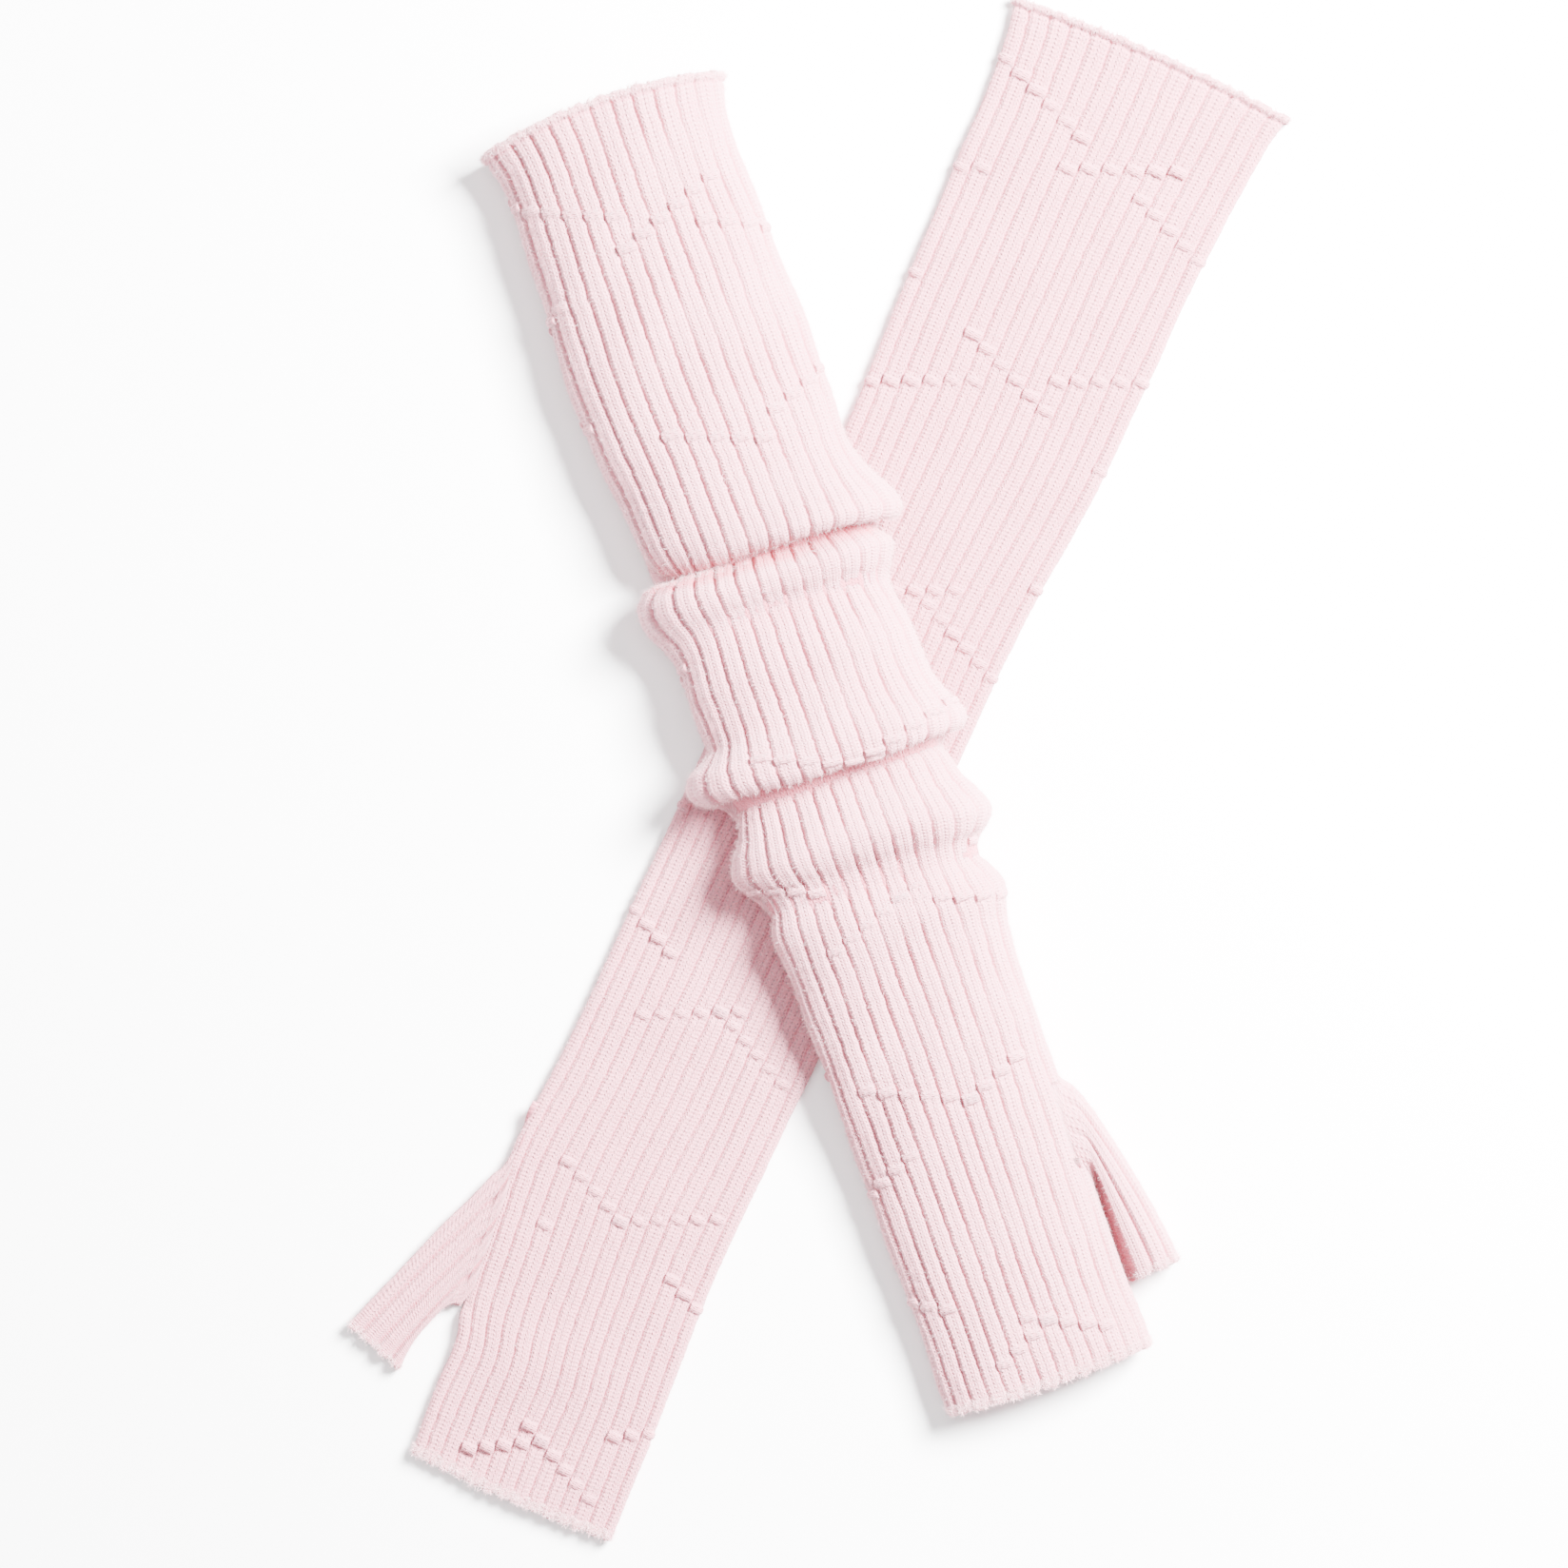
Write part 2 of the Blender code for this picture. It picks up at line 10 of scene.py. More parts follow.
import bpy
import numpy as np
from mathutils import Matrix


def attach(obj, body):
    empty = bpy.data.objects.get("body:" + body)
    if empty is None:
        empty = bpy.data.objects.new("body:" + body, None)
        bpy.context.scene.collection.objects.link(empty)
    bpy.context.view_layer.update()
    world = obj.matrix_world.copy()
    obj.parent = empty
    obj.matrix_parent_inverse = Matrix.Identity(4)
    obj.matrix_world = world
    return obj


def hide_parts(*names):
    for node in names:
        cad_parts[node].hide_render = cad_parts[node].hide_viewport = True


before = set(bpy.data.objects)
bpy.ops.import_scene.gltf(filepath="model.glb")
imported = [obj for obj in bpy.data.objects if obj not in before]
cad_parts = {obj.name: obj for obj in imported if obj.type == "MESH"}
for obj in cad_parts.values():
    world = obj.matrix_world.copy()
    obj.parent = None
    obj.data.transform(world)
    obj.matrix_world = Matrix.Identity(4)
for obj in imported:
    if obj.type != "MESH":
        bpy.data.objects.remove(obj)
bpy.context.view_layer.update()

# Camera
# It looks straight down on the pair, as a camera on a copy stand does.
MM = 0.001
CAMERA_HEIGHT = 2500
FIELD_WIDTH = 549.3  # of the surface, across the whole picture
FIELD_CENTRE = (-11.8, -5.2)
SENSOR_WIDTH = 36
CAMERA_REACH = 10000


def add_object(name, data):
    """A new object in the scene, at the origin."""
    added = bpy.data.objects.new(name, data)
    bpy.context.scene.collection.objects.link(added)
    return added


camera = add_object("camera", bpy.data.cameras.new("camera"))
camera.location = (FIELD_CENTRE[0] * MM, FIELD_CENTRE[1] * MM, CAMERA_HEIGHT * MM)
camera.data.sensor_width = SENSOR_WIDTH
camera.data.lens = SENSOR_WIDTH * CAMERA_HEIGHT / FIELD_WIDTH
camera.data.clip_end = CAMERA_REACH * MM
bpy.context.scene.camera = camera

# Floor
# A matt white paper sheet under the pair. It shows the gloves' soft shadows.
FLOOR_WIDTH = 6000
FLOOR_DEPTH = 0.2  # below the gloves' undersides
PAPER_WHITE = "FAFAFA"


def colour(hex_code):
    """An sRGB hex colour as linear red, green, blue and alpha."""
    parts = [int(hex_code[k:k + 2], 16) / 255 for k in (0, 2, 4)]
    linear = [v / 12.92 if v <= 0.04045 else ((v + 0.055) / 1.055) ** 2.4 for v in parts]
    return (*linear, 1.0)


bpy.ops.mesh.primitive_plane_add(size=FLOOR_WIDTH * MM, location=(0, 0, -FLOOR_DEPTH * MM))
floor = bpy.context.object
floor.name = "floor"
white_paper = bpy.data.materials.new("matt white paper")
white_paper.use_nodes = True
paper = white_paper.node_tree.nodes["Principled BSDF"]
paper.inputs["Base Color"].default_value = colour(PAPER_WHITE)
paper.inputs["Roughness"].default_value = 0.9
floor.data.materials.append(white_paper)

# Light
# A large soft key light from the upper right, a broad fill from above, and a bright white room.
KEY_LIGHT = {"place": (1000, 700, 1150), "size": 700, "power": 575}
FILL_LIGHT = {"place": (-300, 200, 1800), "size": 1500, "power": 40}
ROOM_STRENGTH = 0.82
ROOM_COLOUR = "FFFBFE"  # faintly mauve, as the shadows are

for name, light in (("key light", KEY_LIGHT), ("fill light", FILL_LIGHT)):
    lamp = add_object(name, bpy.data.lights.new(name, "AREA"))
    lamp.location = [v * MM for v in light["place"]]
    lamp.rotation_euler = (-lamp.location).to_track_quat("-Z", "Y").to_euler()
    lamp.data.size = light["size"] * MM
    lamp.data.energy = light["power"]

room = bpy.data.worlds.new("white room")
bpy.context.scene.world = room
room.use_nodes = True
room.node_tree.nodes["Background"].inputs["Color"].default_value = colour(ROOM_COLOUR)
room.node_tree.nodes["Background"].inputs["Strength"].default_value = ROOM_STRENGTH

# Lower glove
# A tube of rib knit in soft wool, knitted round from the arm's edge to the fingers' edge. It lies
# pressed flat, so its two layers lie on each other and the sides are tight bends.
LOWER_START = (116.9, 248.8)  # middle of the arm opening
LOWER_LEAN = -23.9  # degrees that the glove leans from -Y, positive towards +X
LOWER_THICK = 4.9  # two layers
LOWER_EDGE_BOW = (2.5, 1.5)  # how far the arm's and the fingers' edges bow out in the middle
EDGE_BOW_REACH = 30
LOWER_FORM = {
    "along": (0, 7, 20, 60, 110, 150, 200, 260, 330, 400, 441, 470, 498, 507, 525, 551),
    "aside": (0, 0, 0, -1, -1, -1, -3, -3.5, -5, -6.5, -8.2, -6.6, -4.3, -2.8, -2.3, -1),
    "half_width": (
        53, 51, 49.4, 47.2, 46.3, 45, 42.5, 41.8, 41.2, 41.2, 41.7, 40.6, 39.8, 38.7, 38.8, 38.4
    ),
}
LOWER_THUMB_OPENING = (449, 491)
LOWER_OPENING_RIBS = (0.6, 0.5)  # how much of the ribs before and after the side it takes in
LOWER_KNIT = {
    "wall": 2.2, "groove": 1.15, "groove_width": 0.5, "crown": 0.3, "valley": 0.22, "gaps": 1
}
LOWER_PITCH = 6.06  # from one rib to the next
LOWER_HIDDEN_RIBS = range(15, 27)
LOWER_TUCKED = {  # where tucked stitches are made, clear of the hems, the thumb and any folds
    "ribs": range(14), "cloth": (14, 544), "thumb_ribs": (26, 27, 0, 1, 2), "thumb_from": 405,
    "folded": (0, 0),
}
LOWER_COVERED = {  # the cloth that the thumb covers is pressed in
    "depth": 1.2, "from": 444, "from_fade": 8, "to": 500, "to_fade": 5, "rib": 1.0, "rib_fade": 0.3
}
LOWER_SEED = 3

RIBS = 28  # round a glove
GLOVE_ROUND = 170
COURSE = 1.42  # from one row of stitches to the next, as in the photo
WALES_A_RIB = 3  # two that show and one in the groove, so a stitch is 2 mm wide
FINE_POINTS = (0, 0.05, 0.1, 0.17, 0.32, 0.5, 0.68, 0.83, 0.9, 0.95)  # of a rib's pitch
HIDDEN_POINTS = (0, 0.15, 0.5, 0.85)  # on the underside
INNER_ROW_STEP = 9  # stitch rows between the rows of a glove's plain inside
ARM_HEM_ROWS = (0, 0.3, 0.7, 1.2, 1.7, 2.2, 2.6, 3.0, 3.4, 4.2)
HAND_HEM_ROWS = (3.6, 2.6, 1.8, 1.2, 0.7, 0.3, 0)  # before the fingers' edge
FRAYED_ROWS = (3, 7)  # at the arm's edge and at the fingers' edge
HEM = {  # the arm's rolled band, and the thin line inside it, a dip with painted shade
    "band": 2.6, "bead": 0.5, "edge_round": 0.8, "soft": 0.45,
    "line": 3.1, "line_depth": 0.75, "line_width": 0.5, "line_shade": 0.7,
}
RIB_START = {"from": 1.2, "reach": 2.4, "least": 0.25}  # the ribs' depth from the arm's edge on
VALLEY_WIDTH = 0.5  # between a rib's two columns of stitches
INSIDE_SHADE = 0.5  # painted shade inside a tube, as if it lay in a groove and a fold
SCALLOP = {  # the edges' waves, one for each rib, and their fray
    "reach": 9, "depth": 0.9, "balance": 0.6, "uneven": (0.7, 0.6), "arm": 0.5,
    "fray": 0.35, "longest": 1.6, "sharp": 4,
}
# Tucked stitches stand in broken lines, which rise a little from rib to rib. Six are made in nine.
TUCK = {"rise": 2.9, "every": 81.2, "run": 6, "repeat": 9, "step": 5}
TUCK_PULL = {"depth": 0.45, "beside": 0.7, "width": 0.8, "round": 0.7, "clear": 8, "fade": 6}
TUCK_KNOT = {  # its stitches lie across the rib
    "half_length": 1.75, "height": 1.05, "pointed": 0.75, "lowered": 0.25, "sunk": 0.7,
    "rows": 7, "wales": 1.4, "first_wale": 0.5, "first_course": 0.4,
}
TUCK_LINES = ((1, 21, 0), (-1, 62, 4))  # which way a line climbs, where it starts, its break
TUCK_REPEATS = range(-2, 9)  # enough to cross the whole glove
STITCH_UNEVEN = 0.1  # in height
JAGGED = 0.11  # from side to side
WANDER = {"lengths": (50, 160), "size": 0.13}  # of the ribs, from side to side
SWELL = {"lengths": (28, 80), "size": 0.28}  # of the cloth, in height

# The pale pile's colour, with a painted highlight where the stitches' loops stand up.
WOOL_PILE_HIGHLIGHT = "DBA2AA"
WOOL_BASE = "C57E8A"
# Painted shade in the grooves between ribs, and in the thin line inside the arm's rolled band.
WOOL_GROOVE_SHADE = "C97786"
# Painted shade in the pinholes along each groove, between the stitches' strands.
WOOL_PINHOLE_SHADE = "935A66"
# Painted shade in the gaps between stitches, shown more where the cloth is stretched open.
WOOL_GAP_SHADE = "8A5E69"
# Painted shade in the creases of the folds and on the cloth beside the upper thumb's slit.
WOOL_FOLD_SHADE = "C04C5E"
WOOL_SHEEN = "FFF4F5"
FIBRE_PINK = "E3AEB5"
FIBRE_PALE = "F2D3D6"
# Scale is in cells to a metre of cloth, so fibres are 0.7 mm apart, tufts 2.4 mm and patches 22 mm.
WOOL_FIBRES = {"Scale": 1400, "Detail": 4, "Roughness": 0.65}
WOOL_TUFTS = {"Scale": 420, "Detail": 3, "Roughness": 0.6}
WOOL_PATCHES = {"Scale": 45, "Detail": 2, "Roughness": 0.5}
FIBRE_SHADES = {"Scale": 900}
SLANT = 0.7  # of a stitch's legs
STAGGER = 0.37  # of the gaps from one column of stitches to the next
# A lambswool fibre is about 0.02 mm wide, too fine to show, so a half-width of 0.045 mm is drawn.
FIBRE = {
    "length": (0.8, 2.3), "width": 0.045, "hem_width": 0.085, "uneven": (0.7, 1.3), "third": 0.8,
    "rise": (0.15, 1.0), "flatter": 1.5, "rooted": 0.15,
    "seen": -0.3, "edge": 0.4, "more_at_edges": 5, "more_at_hems": 14,
}
FIBRES = {"glove": 46000, "thumb": 2400}


def curve_through(places, values, at):
    """A smooth curve through a table's points, as cubic pieces with the slopes of its neighbours."""
    places = np.asarray(places, float)
    values = np.asarray(values, float)
    slopes = np.gradient(values, places)
    at = np.clip(at, places[0], places[-1])
    left = np.clip(np.searchsorted(places, at, side="right") - 1, 0, len(places) - 2)
    span = places[left + 1] - places[left]
    t = (at - places[left]) / span
    rise = values[left + 1] - values[left]
    a = slopes[left] * span - rise
    b = -slopes[left + 1] * span + rise
    return values[left] + t * rise + t * (1 - t) * (a * (1 - t) + b * t)


def smooth_step(x):
    """0 below 0 and 1 above 1, with an even bend between."""
    x = np.clip(x, 0, 1)
    return x * x * (3 - 2 * x)


def waves(along, share, seed, lengths, turns=6, count=14):
    """A smooth random wave over the cloth, of unit size, which closes round the tube."""
    chance = np.random.default_rng(seed)
    total = 0
    for _ in range(count):
        length = chance.uniform(*lengths)
        turn = chance.integers(-turns, turns + 1)
        total = total + np.sin(2 * math.pi * (along / length + turn * share + chance.random()))
    return total * math.sqrt(2 / count)


def lay_out(start, lean, along, aside, up):
    """Places on a glove, from how far along it, aside and up they are."""
    angle = math.radians(lean)
    x = start[0] + along * math.sin(angle) + aside * math.cos(angle)
    y = start[1] - along * math.cos(angle) + aside * math.sin(angle)
    return np.stack(np.broadcast_arrays(x, y, up), axis=-1)


def slot_ring(half_width, thick, share):
    """Places across and up on a flat ring. Share 0 is its left side, and 0.5 its right side."""
    radius = thick / 2
    flat = 2 * (half_width - radius)
    bend = math.pi * radius / 2
    upper = share < 0.5
    way = np.where(upper, share, share - 0.5) * 2 * (flat + 2 * bend)
    turn = np.clip(way / radius, 0, math.pi / 2)
    turn = turn + np.clip((way - bend - flat) / radius, 0, math.pi / 2)
    across = -flat / 2 + np.clip(way - bend, 0, flat) - radius * np.cos(turn)
    facing = np.where(upper, 1.0, -1.0)
    return across * facing, radius + radius * np.sin(turn) * facing


def edge_bow(place, form, bows):
    """How far the middle of a row is moved along the glove, near either of its open edges."""
    to_arm = smooth_step(place / EDGE_BOW_REACH)
    to_hand = smooth_step((form["along"][-1] - place) / EDGE_BOW_REACH)
    return (1 - to_hand) * bows[1] - (1 - to_arm) * bows[0]


def rib_points(grooves, plain_ribs):
    """The points of a ring: the rib of each, its place in the rib, and the rib's width in shares."""
    ribs, phases = [], []
    for rib in range(len(grooves) - 1):
        for phase in HIDDEN_POINTS if rib in plain_ribs else FINE_POINTS:
            ribs.append(rib)
            phases.append(phase)
    ribs = np.array(ribs)
    phases = np.array(phases)
    widths = np.diff(grooves)[ribs]
    return ribs, phases, np.array(grooves)[ribs] + phases * widths


def stitch_rows(length):
    """Places of a glove's rows along its cloth, one for each row of stitches."""
    count = round((length - ARM_HEM_ROWS[-1] - HAND_HEM_ROWS[0]) / COURSE)
    middle = np.linspace(ARM_HEM_ROWS[-1], length - HAND_HEM_ROWS[0], count + 1)
    return np.concatenate([ARM_HEM_ROWS[:-1], middle, length - np.array(HAND_HEM_ROWS[1:])])


def tuck_lines(ribs):
    """For each line of tucks: where it crosses each rib first, and which of its crossings are made."""
    for way, start, shift in TUCK_LINES:
        def made(line):
            return (ribs + TUCK["step"] * line + shift) % TUCK["repeat"] < TUCK["run"]

        yield start + way * TUCK["rise"] * ribs, made


def tucks(cloth, ribs, phases, tucked):
    """How far the cloth is pulled in on either side of its tucked stitches."""
    pull = 0
    for crossing, made in tuck_lines(ribs):
        away = cloth - crossing
        line = np.round(away / TUCK["every"])
        beside = np.abs(away - line * TUCK["every"]) - TUCK_KNOT["half_length"] - TUCK_PULL["beside"]
        pull = pull + made(line) * np.exp(-((beside / TUCK_PULL["width"]) ** 2))
    pull = pull * smooth_step((cloth - TUCK_PULL["clear"]) / TUCK_PULL["fade"])
    pull = pull * ~(np.isin(ribs, tucked["thumb_ribs"]) & (cloth > tucked["thumb_from"]))
    return -TUCK_PULL["depth"] * pull * np.sin(math.pi * phases) ** TUCK_PULL["round"]


def tuck_shows(rib, place, tucked):
    """Whether a tucked stitch may be made at a place along a rib."""
    return (
        rib in tucked["ribs"]
        and tucked["cloth"][0] < place < tucked["cloth"][1]
        and not (rib in tucked["thumb_ribs"] and place > tucked["thumb_from"])
        and not tucked["folded"][0] < place < tucked["folded"][1]
    )


def grid_cells(grid, order):
    """The corners of each cell of a grid of vertex numbers, in a given order."""
    corners = [grid[:-1, :-1], grid[1:, :-1], grid[1:, 1:], grid[:-1, 1:]]
    return np.stack([corners[k] for k in order], axis=-1).reshape(-1, 4)


def add_mesh(name, points, faces, material):
    """A mesh in the scene, from places in millimetres and the vertex numbers of its faces."""
    mesh = bpy.data.meshes.new(name)
    mesh.from_pydata((points.reshape(-1, 3) * MM).tolist(), [], faces)
    mesh.materials.append(material)
    return add_object(name, mesh)


def tuck_knots(name, skin, normal, rows, ribs, tucked, gaps):
    """The tucked stitches of a glove: small oval knots, each as wide as its rib, sunk in the cloth."""
    points, faces = [], []
    along = np.sin(np.linspace(-math.pi / 2, math.pi / 2, TUCK_KNOT["rows"]))
    across = 2 * np.array(FINE_POINTS[1:]) - 1
    high = np.clip(1 - along[:, None] ** 2 - TUCK_KNOT["pointed"] * across**2, 0, 1) ** 0.5
    high = TUCK_KNOT["height"] * high - TUCK_KNOT["lowered"]
    count = high.size
    for rib in sorted(tucked["ribs"]):
        column = np.nonzero(ribs == rib)[0][1:]
        for crossing, made in tuck_lines(np.int64(rib)):
            for line in TUCK_REPEATS:
                place = crossing + line * TUCK["every"]
                if not made(line) or not tuck_shows(rib, place, tucked):
                    continue
                at = np.interp(place + TUCK_KNOT["half_length"] * along, rows, np.arange(len(rows)))
                row = np.minimum(at.astype(int), len(rows) - 2)
                share = (at - row)[:, None, None]
                lies, out = (
                    grid[row][:, column] * (1 - share) + grid[row + 1][:, column] * share
                    for grid in (skin, normal)
                )
                top = np.arange(count).reshape(high.shape) + len(points) * 2 * count
                points.append(np.stack([lies + out * high[..., None], lies - out * TUCK_KNOT["sunk"]]))
                ring = np.concatenate([top[0, :], top[1:, -1], top[-1, -2::-1], top[-2::-1, 0]])
                under = ring + count
                faces.append(grid_cells(top, (0, 1, 2, 3)))
                faces.append(grid_cells(top + count, (0, 3, 2, 1)))
                faces.append(np.stack([ring[:-1], ring[1:], under[1:], under[:-1]], axis=-1))
    knots = add_mesh(name, np.stack(points), np.concatenate(faces).tolist(), wool_knit)
    mesh = knots.data
    wale, course = np.meshgrid(
        across * TUCK_KNOT["wales"] + TUCK_KNOT["first_wale"],
        along * TUCK_KNOT["half_length"] / COURSE + TUCK_KNOT["first_course"],
    )
    stitches = np.tile(np.stack([course, wale], axis=-1).reshape(-1, 2), (2 * len(points), 1))
    corner = np.empty(len(mesh.loops), int)
    mesh.loops.foreach_get("vertex_index", corner)
    mesh.uv_layers.new(name="stitches").data.foreach_set("uv", stitches[corner].ravel())
    openness = mesh.attributes.new("gaps", "FLOAT", "POINT")
    openness.data.foreach_set("value", np.full(len(mesh.vertices), gaps, float))
    mesh.shade_smooth()
    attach(knots, "root")
    return knots


def rib_depth(phases, pitch, knit):
    """How far below its crest a rib's surface lies, and how deep in the groove that is."""
    from_groove = np.minimum(phases, 1 - phases) * pitch
    from_middle = np.abs(phases - 0.5) * pitch
    groove = np.exp(-((from_groove / knit["groove_width"]) ** 2))
    crown = (2 * phases - 1) ** 4
    valley = np.exp(-((from_middle / VALLEY_WIDTH) ** 2))
    depth = knit["groove"] * groove + knit["crown"] * crown * (1 - groove) + knit["valley"] * valley
    return depth, groove


def ribs_begin(rows):
    """What share of their depth the ribs have, from the plain rolled edge onwards."""
    begun = smooth_step((rows - RIB_START["from"]) / RIB_START["reach"])[:, None]
    return begun * (1 - RIB_START["least"]) + RIB_START["least"]


def uneven(rows, ribs, phases, seed):
    """Each stitch stands a little higher or lower than the next, and its loop is pulled tight."""
    chance = np.random.default_rng(seed)
    leg = (phases > 0.5).astype(int)
    heights = chance.normal(size=(rows, RIBS, 2))[:, ribs % RIBS, leg]
    return STITCH_UNEVEN * heights * np.sin(2 * math.pi * phases) ** 2


def hem_depth(from_edge, rolled):
    """How far the surface drops at an open edge, which is a rolled band or just round."""
    drop = HEM["edge_round"] * np.exp(-((from_edge / HEM["soft"]) ** 2))
    if rolled:
        band = np.clip(1 - (2 * from_edge / HEM["band"] - 1) ** 2, 0, 1)
        line = np.exp(-(((from_edge - HEM["line"]) / HEM["soft"]) ** 2))
        drop = drop - HEM["bead"] * np.sqrt(band) + HEM["line_depth"] * line
    return drop[:, None]


def hem_line(from_edge):
    """How much painted shade the thin line inside the rolled band gets."""
    away = (from_edge - HEM["line"]) / HEM["line_width"]
    return HEM["line_shade"] * np.exp(-(away**2))[:, None]


def unit(vectors):
    """The same directions, with a length of one."""
    return vectors / np.maximum(np.linalg.norm(vectors, axis=-1, keepdims=True), 1e-9)


def outward(points):
    """Unit normals of a grid of places whose rows go once round a tube."""
    round_it = np.roll(points, -1, axis=1) - np.roll(points, 1, axis=1)
    return unit(np.cross(np.gradient(points, axis=0), round_it))


def knit_shell(name, outer, inner, inner_rows, holes, stitches, marks):
    """One closed wall of knit. Its outside has a row for each row of stitches, and its inside only
    some of them. holes marks the cells between the inside's rows that are left out, and marks holds
    what the wool's material reads for its painted shade: how deep in a groove or a fold a place is, and
    how open its gaps.
    """
    rows, columns = outer.shape[:2]
    cloth = ~holes
    fine_cloth = np.repeat(cloth, np.diff(inner_rows), axis=0)
    base = rows * columns
    faces, corners = [], []

    def add(ring):
        """ring holds, for each corner of one face or of many, which skin, its row and its column."""
        vertex = [base * skin + row * columns + column % columns for skin, row, column in ring]
        place = [np.stack([inner_rows[row] if skin else row, column], -1) for skin, row, column in ring]
        faces.append(np.stack(vertex, axis=-1))
        corners.append(np.stack(place, axis=-2).reshape(-1, 2))

    row, column = np.nonzero(fine_cloth)
    add([(0, row, column), (0, row + 1, column), (0, row + 1, column + 1), (0, row, column + 1)])
    row, column = np.nonzero(cloth)
    add([(1, row, column), (1, row, column + 1), (1, row + 1, column + 1), (1, row + 1, column)])
    padded = np.pad(cloth, ((1, 1), (0, 0)))
    starts = padded[1:] & ~padded[:-1]
    ends = padded[:-1] & ~padded[1:]
    for line, is_start in ((starts, True), (ends, False)):
        for r, c in zip(*np.nonzero(line)):
            fine = int(inner_rows[r])
            ring = [(0, fine, c), (0, fine, c + 1), (1, r, c + 1), (1, r, c)]
            add(ring if is_start else ring[::-1])
    left_missing = cloth & ~np.roll(cloth, 1, axis=1)
    right_missing = cloth & ~np.roll(cloth, -1, axis=1)
    for cells, is_left in ((left_missing, True), (right_missing, False)):
        for r, c in zip(*np.nonzero(cells)):
            edge = c if is_left else c + 1
            ring = [(0, fine, edge) for fine in range(inner_rows[r], inner_rows[r + 1] + 1)]
            ring = ring + [(1, r + 1, edge), (1, r, edge)]
            add(ring[::-1] if is_left else ring)

    used = np.unique(np.concatenate([face.ravel() for face in faces]))
    place_of = np.zeros(base + inner.shape[0] * columns, int)
    place_of[used] = np.arange(len(used))
    points = np.concatenate([outer.reshape(-1, 3), inner.reshape(-1, 3)])[used]
    outside, inside, *rims = (place_of[face].tolist() for face in faces)
    shell = add_mesh(name, points, outside + inside + rims, wool_knit)
    mesh = shell.data
    at = np.concatenate(corners)
    uv = mesh.uv_layers.new(name="stitches")
    wale, course = stitches
    uv.data.foreach_set("uv", np.stack([wale[at[:, 1]], course[at[:, 0]]], axis=-1).ravel())
    inside = np.full(inner.shape[0] * columns, INSIDE_SHADE)
    for label, value in marks.items():
        mark = mesh.attributes.new(label, "FLOAT", "POINT")
        mark.data.foreach_set("value", np.concatenate([value.ravel(), inside])[used])
    mesh.shade_smooth()
    return shell


def add_node(tree, kind, inputs=(), output=0, **settings):
    """Adds a node with its settings, links or sets its inputs, and gives one of its outputs."""
    node = tree.nodes.new("ShaderNode" + kind)
    for name, value in settings.items():
        setattr(node, name, value)
    for socket, value in inputs.items() if isinstance(inputs, dict) else enumerate(inputs):
        if isinstance(value, bpy.types.NodeSocket):
            tree.links.new(value, node.inputs[socket])
        else:
            node.inputs[socket].default_value = value
    return node.outputs[output]


